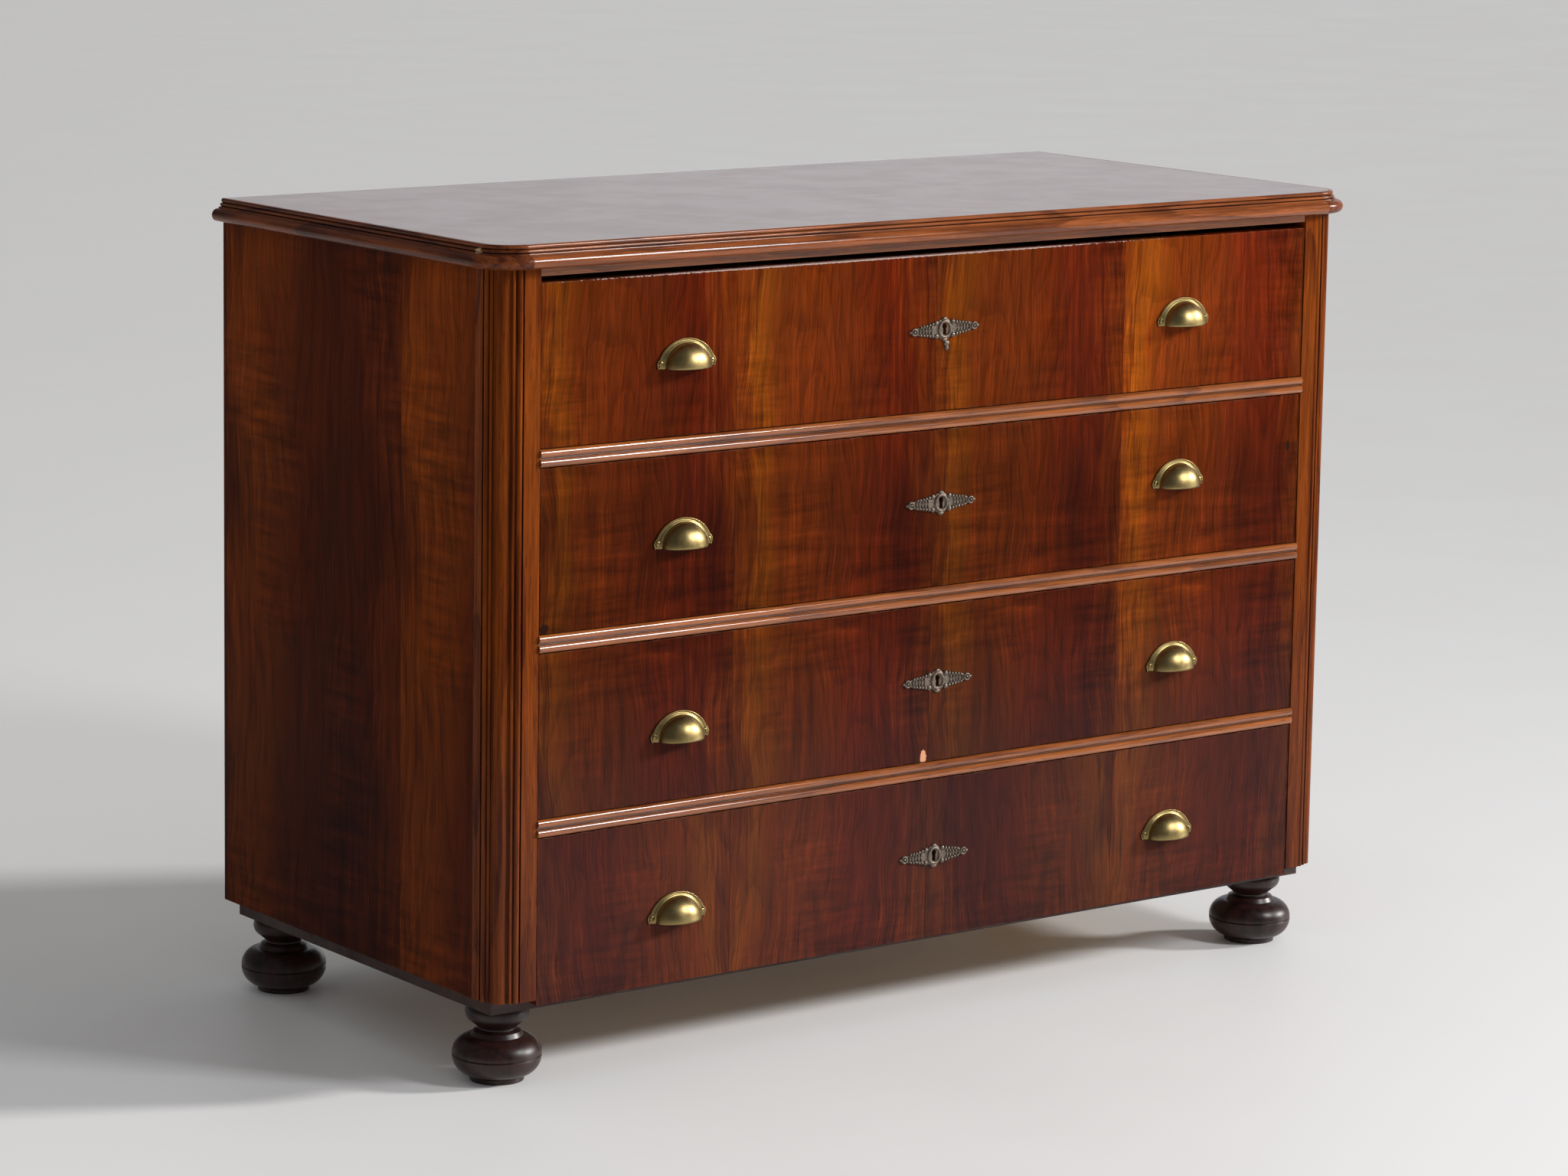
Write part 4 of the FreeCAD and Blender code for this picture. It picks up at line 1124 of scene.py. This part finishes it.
@dataclass
class CupPull:
    """A pressed cup pull about the middle of its lower edge, where it meets the drawer's face.

    Each row of the rim is a share of the way from its outer edge to the cup's root, and a height.
    """

    rim_half_width: float = 0.037
    rim_height: float = 0.031
    root_half_width: float = 0.0285
    root_height: float = 0.026
    reach: float = 0.022
    ear_radius: float = 0.0056
    ear_spread: float = 0.0324
    ear_rise: float = 0.0056
    sheet: float = 0.0012
    spans: int = 72
    dome_rows: int = 18
    smooth_angle: float = 180.0
    same_point: float = 1e-6
    rim_rows: tuple[Span, ...] = (
        (0.0, 0.0), (0.0, 0.0014), (0.05, 0.0021), (0.13, 0.0022), (0.22, 0.0014), (0.34, 0.0009),
        (0.48, 0.0010), (0.58, 0.0015), (0.68, 0.0022), (0.80, 0.0024), (0.92, 0.0029))

    def outer(self, angle: float) -> float:
        """Find how far the rim's outer edge is from the middle, with its ears.

        Args:
            angle: The angle above the right-hand side, in radians.

        Returns:
            The distance.
        """
        plain = 1.0 / math.hypot(math.cos(angle) / self.rim_half_width, math.sin(angle) / self.rim_height)
        away = math.hypot(self.ear_spread, self.ear_rise)
        turn = math.atan2(self.ear_rise, self.ear_spread)
        off = min(abs(angle - turn), abs(math.pi - angle - turn))
        inside = self.ear_radius ** 2 - (away * math.sin(off)) ** 2
        return max(plain, away * math.cos(off) + math.sqrt(inside)) if inside > 0.0 else plain

    def rows(self) -> list[np.ndarray]:
        """Lay out the rim and the cup.

        Returns:
            Rows of points from the rim's outer edge to the cup's lip.
        """
        angles = np.linspace(0.0, math.pi, self.spans + 1)
        outer = np.array([(self.outer(angle) * math.cos(angle), self.outer(angle) * math.sin(angle))
                          for angle in angles])
        root = np.stack([self.root_half_width * np.cos(angles), self.root_height * np.sin(angles)], axis=1)
        rows = []
        for share, height in self.rim_rows:
            flat = outer * (1.0 - share) + root * share
            rows.append(np.stack([flat[:, 0], np.full(len(angles), -height), flat[:, 1]], axis=1))
        start = self.rim_rows[-1][1]
        for turn in np.linspace(0.0, math.pi / 2.0, self.dome_rows + 1)[1:]:
            out = start + (self.reach - start) * np.sin(angles) * math.sin(turn)
            up = self.root_height * np.sin(angles) * math.cos(turn)
            rows.append(np.stack([self.root_half_width * np.cos(angles), -out, up], axis=1))
        return rows

    def build(self, name: str, place: Vector, body: str) -> bpy.types.Object:
        """Make one pull.

        Args:
            name: The piece's name.
            place: The middle of its lower edge on the drawer's face.
            body: The drawer that it rides on.

        Returns:
            The pull.
        """
        rows = self.rows()
        points = np.concatenate(rows) + np.array(place)
        wide = self.spans + 1
        faces = [(row * wide + column, row * wide + column + 1, (row + 1) * wide + column + 1,
                  (row + 1) * wide + column)
                 for row in range(len(rows) - 1) for column in range(self.spans)]
        made = piece_from(name, points, faces, body, self.smooth_angle)
        made.modifiers.new("joined points", "WELD").merge_threshold = self.same_point
        thick = made.modifiers.new("sheet thickness", "SOLIDIFY")
        thick.thickness = self.sheet
        thick.offset = -1.0
        return made


@dataclass
class Lobe:
    """One raised part of a casting: a dome, or a ring where ring is above zero."""

    x: float
    z: float
    half_width: float
    half_height: float
    rise: float
    ring: float = 0.0


@dataclass
class Escutcheon:
    """A cast plate round a keyhole: an oval ring between two leaves that end in bossed knobs.

    Heights are above the middle of the keyhole's round part, and the plate's own middle is lower.
    """

    plate: float = 0.0009
    middle: float = -0.0032
    half_width: float = 0.047
    keyhole_radius: float = 0.0032
    keyhole_half_slot: float = 0.0023
    keyhole_drop: float = 0.0095
    beads: int = 5
    bead_from: float = 0.0165
    bead_run: float = 0.0165
    bead_edge: Span = (0.0066, 0.0040)
    bead_size: Span = (0.0021, 0.0017)
    bead_rise: float = 0.0028
    vein_shift: float = 0.0016
    vein_share: float = 0.42
    vein_width_share: float = 0.55
    knob_inset: float = 0.0055
    tip_inset: float = 0.0004
    ring_edge: float = 1.02
    reach: Span = (0.051, 0.034)
    step: float = 0.0004
    smooth_angle: float = 50.0
    pendant: bool = False
    lobes: list[Lobe] = field(default_factory=list)

    def __post_init__(self) -> None:
        """Lay out the relief, mirrored on both sides of the keyhole."""
        self.lobes += self.boss()
        for side in SIDES:
            self.lobes += self.leaf(side) + self.knob(side)
        if self.pendant:
            self.lobes += self.drop()

    def boss(self) -> list[Lobe]:
        """Lay out the middle of the casting.

        Returns:
            The oval ring, the plate below it and the beads above and below.
        """
        return [
            Lobe(x=0.0, z=self.middle, half_width=0.0092, half_height=0.0102, rise=0.0030, ring=0.84),
            Lobe(x=0.0, z=self.middle, half_width=0.0112, half_height=0.0114, rise=0.0014),
            Lobe(x=0.0, z=0.0082, half_width=0.0036, half_height=0.0020, rise=0.0026),
            Lobe(x=0.0, z=-0.0146, half_width=0.0040, half_height=0.0024, rise=0.0026),
        ]

    def leaf(self, side: float) -> list[Lobe]:
        """Lay out the leaf on one side.

        Args:
            side: -1 on the left, 1 on the right.

        Returns:
            The leaf's blade, the two curls at its root, and its beads and veins.
        """
        lobes = [
            Lobe(x=side * 0.0235, z=self.middle, half_width=0.0165, half_height=0.0064, rise=0.0013),
            Lobe(x=side * 0.0115, z=0.0040, half_width=0.0030, half_height=0.0030, rise=0.0030),
            Lobe(x=side * 0.0115, z=-0.0104, half_width=0.0030, half_height=0.0030, rise=0.0030),
        ]
        for index in range(self.beads):
            share = index / (self.beads - 1)
            x = side * (self.bead_from + self.bead_run * share)
            edge = self.bead_edge[0] + (self.bead_edge[1] - self.bead_edge[0]) * share
            size = self.bead_size[0] + (self.bead_size[1] - self.bead_size[0]) * share
            vein = edge * self.vein_share
            for turn in SIDES:
                lobes.append(Lobe(x, self.middle + turn * edge, size, size, self.bead_rise))
                lobes.append(Lobe(x=x + side * self.vein_shift, z=self.middle + turn * vein,
                                  half_width=size * self.vein_width_share, half_height=vein, rise=0.0030))
        return lobes

    def knob(self, side: float) -> list[Lobe]:
        """Lay out the knob at the end of one side.

        Args:
            side: -1 on the left, 1 on the right.

        Returns:
            The knob's ring, its middle and its tip.
        """
        x = side * (self.half_width - self.knob_inset)
        tip = side * (self.half_width - self.tip_inset)
        return [
            Lobe(x=x, z=self.middle, half_width=0.0046, half_height=0.0046, rise=0.0026, ring=0.74),
            Lobe(x=x, z=self.middle, half_width=0.0020, half_height=0.0020, rise=0.0030),
            Lobe(x=tip, z=self.middle, half_width=0.0020, half_height=0.0016, rise=0.0020),
        ]

    def drop(self) -> list[Lobe]:
        """Lay out the pendant.

        Returns:
            Its two drops, a little to the right of the middle.
        """
        return [
            Lobe(x=0.0028, z=-0.0190, half_width=0.0042, half_height=0.0030, rise=0.0026),
            Lobe(x=0.0030, z=-0.0236, half_width=0.0026, half_height=0.0034, rise=0.0024),
        ]

    def shape(self, x: np.ndarray, z: np.ndarray) -> tuple[np.ndarray, np.ndarray]:
        """Work out the casting's outline and relief.

        Args:
            x: Places across.
            z: Heights.

        Returns:
            How far inside the outline the points are, and how high the casting stands there.
        """
        inside = np.full(x.shape, -1.0)
        height = np.full(x.shape, self.plate)
        for lobe in self.lobes:
            away = ((x - lobe.x) / lobe.half_width) ** 2 + ((z - lobe.z) / lobe.half_height) ** 2
            inside = np.maximum(inside, 1.0 - away)
            if lobe.ring > 0.0:
                bulge = 1.0 - ((np.sqrt(away) - lobe.ring) / (self.ring_edge - lobe.ring)) ** 2
            else:
                bulge = 1.0 - away
            dome = np.sqrt(np.clip(bulge, 0.0, 1.0))
            height = np.maximum(height, self.plate + (lobe.rise - self.plate) * dome)
        hole = 1.0 - (x ** 2 + z ** 2) / self.keyhole_radius ** 2
        half_drop = self.keyhole_drop / 2.0
        slot = 1.0 - np.maximum(np.abs(x) / self.keyhole_half_slot, np.abs(z + half_drop) / half_drop)
        return np.minimum(inside, -np.maximum(hole, slot)), height

    def build(self, name: str, place: Vector, tilt: float, body: str) -> bpy.types.Object:
        """Make the casting with its keyhole's round part at a place.

        Args:
            name: The piece's name.
            place: The middle of the keyhole's round part on the drawer's face.
            tilt: How far it is turned in its plane, in degrees.
            body: The drawer that it rides on.

        Returns:
            The casting.
        """
        points, faces = relief(self.shape, self.reach, self.step)
        turn = Matrix.Translation(place) @ Matrix.Rotation(math.radians(-tilt), 4, "Y")
        return piece_from(name, moved(points, turn), faces, body, self.smooth_angle)


@dataclass
class ScrewHeads:
    """Round screw heads with one slot."""

    radius: float = 0.0032
    rise: float = 0.0017
    edge: float = 0.0004
    slot: float = 0.00045
    slot_floor: float = 0.45
    margin: float = 1.1
    step: float = 0.00028
    smooth_angle: float = 40.0

    def shape(self, x: np.ndarray, z: np.ndarray) -> tuple[np.ndarray, np.ndarray]:
        """Work out the head's round outline and its domed height, less the slot.

        Args:
            x: Places across.
            z: Heights.

        Returns:
            How far inside the outline the points are, and how high the head stands there.
        """
        away = (x ** 2 + z ** 2) / self.radius ** 2
        height = self.edge + (self.rise - self.edge) * np.sqrt(np.clip(1.0 - away, 0.0, 1.0))
        height = np.where(np.abs(x) < self.slot, np.minimum(height, self.rise * self.slot_floor), height)
        return 1.0 - away, height

    def build(self, name: str, places: Sequence[Vector], turns: Sequence[float], body: str,
              facing_back: bool = False) -> bpy.types.Object:
        """Make several heads as one piece.

        Args:
            name: The piece's name.
            places: The middle of each head's back.
            turns: How far each slot is turned, in degrees.
            body: The body that they ride on.
            facing_back: Whether the heads face +Y instead of -Y.

        Returns:
            The piece.
        """
        half = self.radius * self.margin
        head, head_faces = relief(self.shape, (half, half), self.step)
        points, faces = [], []
        for place, turn in zip(places, turns):
            matrix = Matrix.Translation(place) @ Matrix.Rotation(math.pi if facing_back else 0.0, 4, "Z")
            matrix = matrix @ Matrix.Rotation(math.radians(turn), 4, "Y")
            start = len(points) * len(head)
            points.append(moved(head, matrix))
            faces += [[number + start for number in face] for face in head_faces]
        return piece_from(name, np.concatenate(points), faces, body, self.smooth_angle)


DRAWER_LOOKS = {
    "front": Look.FRONT,
    "side_left": Look.PINE_LENGTHWAYS,
    "side_right": Look.PINE_LENGTHWAYS,
    "back": Look.PINE_ACROSS,
    "bottom": Look.PINE_ACROSS,
    "lock_case": Look.IRON,
    "lock_bolt": Look.IRON,
    "pulls": Look.BRASS,
    "escutcheon": Look.CASTING,
}


@dataclass
class Drawer:
    """One drawer: its own boards, pulls, screws, casting and lock.

    The rises are above the middle of the drawer's front.
    """

    number: int
    key_rise: float
    pull_rise: float
    pull_shift: float = 0.0
    right_lift: float = 0.0
    tilt: float = 0.0
    pull_spread: float = 0.345
    pull_screw_y: float = -0.0014
    first_turn: float = 20.0
    turn_step: float = 47.0
    lock_screw_radius: float = 0.0036
    lock_screw_rise: float = 0.0012
    lock_screw_inset: float = 0.006
    lock_screw_turns: tuple[float, ...] = (12.0, 75.0, 130.0, 48.0)

    def build(self, paint: Paint) -> list[bpy.types.Object]:
        """Dress the drawer's nodes and make its metalwork.

        Args:
            paint: What makes and lays the finishes.

        Returns:
            The pieces that were made.
        """
        name = "drawer_%d" % self.number
        for part, look in DRAWER_LOOKS.items():
            paint.coat(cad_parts["%s_%s" % (name, part)], look)
        low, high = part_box(name + "_front")
        middle = Vector((0.0, low.y, (low.z + high.z) / 2.0))
        dressed = [(piece, Look.BRASS, "aged_brass") for piece in self.pulls(name, middle)]
        dressed.append((self.casting(name, middle), Look.CASTING, "cast_alloy"))
        dressed.append((self.lock_screws(name), Look.IRON, "lock_iron"))
        for piece, look, slot in dressed:
            paint.coat(piece, look)
        return [piece for piece, _, _ in dressed]

    def pulls(self, name: str, middle: Vector) -> list[bpy.types.Object]:
        """Make both pulls and their screws, in the place of the plain ones.

        Args:
            name: The drawer's name.
            middle: The middle of its face.

        Returns:
            The two pulls and their screws.
        """
        pull = CupPull()
        made, places = [], []
        for side, sign in zip(("left", "right"), SIDES):
            x = sign * self.pull_spread + self.pull_shift
            z = self.pull_rise - pull.rim_height / 2.0 + (self.right_lift if side == "right" else 0.0)
            place = middle + Vector((x, 0.0, z))
            piece = pull.build("%s_pull_%s" % (name, side), place, name)
            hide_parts(name + "_pulls")
            made.append(piece)
            places += [place + Vector((ear * pull.ear_spread, self.pull_screw_y, pull.ear_rise))
                       for ear in SIDES]
        turns = [self.first_turn + self.turn_step * (index + self.number) for index in range(len(places))]
        made.append(ScrewHeads().build(name + "_pull_screws", places, turns, name))
        return made

    def casting(self, name: str, middle: Vector) -> bpy.types.Object:
        """Make the cast plate round the keyhole, in the place of the plain one.

        Args:
            name: The drawer's name.
            middle: The middle of its face.

        Returns:
            The casting.
        """
        place = middle + Vector((0.0, 0.0, self.key_rise))
        plate = Escutcheon(pendant=self.number == 1)
        piece = plate.build(name + "_keyhole_casting", place, self.tilt, name)
        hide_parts(name + "_escutcheon")
        return piece

    def lock_screws(self, name: str) -> bpy.types.Object:
        """Make the four screws that hold the lock case.

        Args:
            name: The drawer's name.

        Returns:
            The screws as one piece.
        """
        low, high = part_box(name + "_lock_case")
        inset = self.lock_screw_inset
        places = [Vector((x, high.y, z)) for x in (low.x + inset, high.x - inset)
                  for z in (low.z + inset, high.z - inset)]
        heads = ScrewHeads(radius=self.lock_screw_radius, rise=self.lock_screw_rise)
        return heads.build(name + "_lock_screws", places, self.lock_screw_turns, name, facing_back=True)


CARCASS_LOOKS = {
    Look.TOP: ("top_board",),
    Look.MOULDING_FRONT: ("moulding_front",),
    Look.MOULDING_SIDE: ("moulding_left", "moulding_right"),
    Look.SIDE: ("side_panel_left", "side_panel_right"),
    Look.POST: ("corner_post_left", "corner_post_right"),
    Look.RAIL: ("top_rail", "drawer_rail_upper", "drawer_rail_middle", "drawer_rail_lower"),
    Look.BASE: ("base_frame",),
    Look.PINE_ACROSS: ("bottom_board", "drawer_stops", "corner_blocks"),
    Look.PINE_LENGTHWAYS: ("drawer_runners", "drawer_guides"),
    Look.PINE_UPRIGHT: ("back_boards",),
    Look.FOOT: ("foot_front_left", "foot_front_right", "foot_rear_left", "foot_rear_right"),
}


@dataclass
class Carcass:
    """Everything that stands still.

    The nail's profile gives shares of its radius and of its rise.
    """

    back_board_count: int = 3
    nail_radius: float = 0.0035
    nail_rise: float = 0.0012
    nail_inset: float = 0.014
    nail_rows: tuple[float, ...] = (0.112, 0.36, 0.62, 0.864)
    nail_profile: tuple[Span, ...] = ((1.0, 0.0), (0.95, 0.6), (0.7, 0.9), (0.3, 1.0))
    nail_sides: int = 14
    nail_smooth_angle: float = 50.0

    def build(self, paint: Paint) -> list[bpy.types.Object]:
        """Dress the still nodes and drive the nails in the back.

        Args:
            paint: What makes and lays the finishes.

        Returns:
            The pieces that were made.
        """
        for look, nodes in CARCASS_LOOKS.items():
            for node in nodes:
                paint.coat(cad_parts[node], look)
        nails = self.nails()
        paint.coat(nails, Look.NAIL)
        return [nails]

    def nails(self) -> bpy.types.Object:
        """Make the nail heads along the edges of the back boards.

        Returns:
            The nail heads as one piece.
        """
        low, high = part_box("back_boards")
        width = (high.x - low.x) / self.back_board_count
        columns = [low.x + width * index + offset for index in range(self.back_board_count)
                   for offset in (self.nail_inset, width - self.nail_inset)]
        points, faces = [], []
        for x in columns:
            for z in self.nail_rows:
                head, head_faces = self.nail_head(Vector((x, high.y, z)), len(points))
                points += head
                faces += head_faces
        return piece_from("back_nails", points, faces, "carcass", self.nail_smooth_angle)

    def nail_head(self, place: Vector, start: int) -> tuple[list[Point], list[list[int]]]:
        """Make one nail head.

        Args:
            place: The middle of its back.
            start: The number of its first point.

        Returns:
            Its points and faces.
        """
        sides = self.nail_sides
        points, faces = [], []
        for share, rise in self.nail_profile:
            for index in range(sides):
                angle = math.tau * index / sides
                points.append((place.x + self.nail_radius * share * math.cos(angle),
                               place.y + self.nail_rise * rise,
                               place.z + self.nail_radius * share * math.sin(angle)))
        for row in range(len(self.nail_profile) - 1):
            near = start + row * sides
            far = near + sides
            for index in range(sides):
                after = (index + 1) % sides
                faces.append([near + after, near + index, far + index, far + after])
        last = start + (len(self.nail_profile) - 1) * sides
        faces.append([last + index for index in reversed(range(sides))])
        return points, faces


@dataclass
class Studio:
    """A pale floor, soft lights and the camera.

    Ways are directions, the sun's width is in degrees, the camera's angles are in radians, its lens and
    sensor are in millimetres, and its principal point is in pixels from the middle of the image.
    """

    floor_half: float = 60.0
    wall_colour: Colour = (0.70, 0.70, 0.73)
    room_colour: Colour = (0.10, 0.10, 0.105)
    wall_way: Point = (0.75, 0.65, 0.12)
    wall_span: Span = (0.84, 0.99)
    sky_colour: Colour = (1.0, 1.0, 1.0)
    sky: float = 0.38
    sun_power: float = 2.9
    sun_width: float = 7.0
    sun_colour: Colour = (1.0, 0.985, 0.965)
    sun_way: Point = (-0.84, 0.42, -0.34)
    window_place: Point = (1.80, -3.15, 2.5)
    window_size: Span = (0.75, 1.1)
    window_power: float = 84.0
    window_colour: Colour = (0.97, 0.98, 1.0)
    window_aim: Point = (0.0, 0.0, 0.45)
    camera_place: Point = (-3.287195, -4.323263, 1.441116)
    yaw: float = 0.627385
    pitch: float = 0.150812
    roll: float = 0.0123303
    lens: float = 111.23
    sensor: float = 36.0
    image_width: float = 2048.0
    principal: Span = (-127.551, -198.892)

    def build(self, paint: Paint) -> None:
        """Set the stage.

        Args:
            paint: What makes and lays the finishes.
        """
        self.floor(paint)
        self.world()
        self.sun()
        self.window()
        self.camera()
        bpy.context.scene.view_settings.view_transform = "Standard"

    @staticmethod
    def put(name: str, data: bpy.types.ID) -> bpy.types.Object:
        """Put a mesh, lamp or camera into the scene.

        Args:
            name: The object's name.
            data: What it shows.

        Returns:
            The new object.
        """
        made = bpy.data.objects.new(name, data)
        bpy.context.scene.collection.objects.link(made)
        return made

    def floor(self, paint: Paint) -> None:
        """Lay the floor.

        Args:
            paint: What makes and lays the finishes.
        """
        half = self.floor_half
        mesh = bpy.data.meshes.new("floor")
        corners = [(-half, -half, 0.0), (half, -half, 0.0), (half, half, 0.0), (-half, half, 0.0)]
        mesh.from_pydata(corners, [], [(0, 1, 2, 3)])
        made = self.put("floor", mesh)
        paint.coat(made, Look.FLOOR)

    def world(self) -> None:
        """Soft light from all round, and a pale backdrop where it is seen or mirrored."""
        world = bpy.data.worlds.new("studio")
        bpy.context.scene.world = world
        world.use_nodes = True
        graph = Graph(world.node_tree)
        for node in list(world.node_tree.nodes):
            world.node_tree.nodes.remove(node)
        path = graph.add("ShaderNodeLightPath")
        mirrored = graph.math("MAXIMUM", path.outputs["Is Glossy Ray"],
                              path.outputs["Is Transmission Ray"])
        seen = graph.math("MAXIMUM", path.outputs["Is Camera Ray"], mirrored)
        light = graph.add("ShaderNodeBackground", {"Color": self.sky_colour, "Strength": self.sky})
        way = graph.add("ShaderNodeTexCoord").outputs["Generated"]
        faced = graph.range(graph.measure("DOT_PRODUCT", way, self.wall_way), *self.wall_span)
        not_direct = graph.math("SUBTRACT", 1.0, path.outputs["Is Camera Ray"])
        dim = graph.math("MULTIPLY", not_direct, graph.math("SUBTRACT", 1.0, faced))
        backdrop = graph.mix(dim, self.wall_colour, self.room_colour)
        wall = graph.add("ShaderNodeBackground", {"Color": backdrop, "Strength": 1.0})
        both = graph.add("ShaderNodeMixShader", {0: seen, 1: light.outputs[0], 2: wall.outputs[0]})
        graph.add("ShaderNodeOutputWorld", {0: both.outputs[0]})

    def sun(self) -> None:
        """One broad light from the front right, even over the whole floor."""
        light = bpy.data.lights.new("key", "SUN")
        light.energy = self.sun_power
        light.angle = math.radians(self.sun_width)
        light.color = self.sun_colour
        made = self.put("key", light)
        made.rotation_euler = Vector(self.sun_way).to_track_quat("-Z", "Y").to_euler()

    def window(self) -> None:
        """A soft lamp with a broad flat face that points at the chest's middle."""
        light = bpy.data.lights.new("window", "AREA")
        light.shape = "RECTANGLE"
        light.size, light.size_y = self.window_size
        light.energy = self.window_power
        light.color = self.window_colour
        made = self.put("window", light)
        made.location = self.window_place
        aim = Vector(self.window_aim) - Vector(self.window_place)
        made.rotation_euler = aim.to_track_quat("-Z", "Y").to_euler()

    def camera(self) -> None:
        """The camera at the photograph's viewing angle."""
        forward = Vector((math.sin(self.yaw) * math.cos(self.pitch),
                          math.cos(self.yaw) * math.cos(self.pitch), -math.sin(self.pitch)))
        level = Vector((math.cos(self.yaw), -math.sin(self.yaw), 0.0))
        above = level.cross(forward)
        right = math.cos(self.roll) * level + math.sin(self.roll) * above
        up = math.cos(self.roll) * above - math.sin(self.roll) * level
        data = bpy.data.cameras.new("camera")
        data.sensor_width = self.sensor
        data.lens = self.lens
        data.shift_x = -self.principal[0] / self.image_width
        data.shift_y = self.principal[1] / self.image_width
        made = self.put("camera", data)
        turn = Matrix((right, up, -forward)).transposed().to_4x4()
        made.matrix_world = Matrix.Translation(self.camera_place) @ turn
        bpy.context.scene.camera = made


DRAWERS = (
    Drawer(number=1, key_rise=0.0070, pull_rise=0.0018, tilt=1.8),
    Drawer(number=2, key_rise=0.0089, pull_rise=0.0050, pull_shift=-0.0015, right_lift=0.0053),
    Drawer(number=3, key_rise=0.0057, pull_rise=-0.0069, pull_shift=-0.0030, right_lift=0.0020),
    Drawer(number=4, key_rise=0.0059, pull_rise=-0.0059, pull_shift=-0.0040, right_lift=0.0020),
)


def main() -> None:
    """Dress the whole chest and set the stage."""
    logging.basicConfig(level=logging.INFO, format="%(message)s")
    paint = Paint()
    for part in (Carcass(), *DRAWERS):
        for piece in part.build(paint):
            log.info("%s has %d faces", piece.name, len(piece.data.polygons))
    Studio().build(paint)


if __name__ == "__main__":
    main()
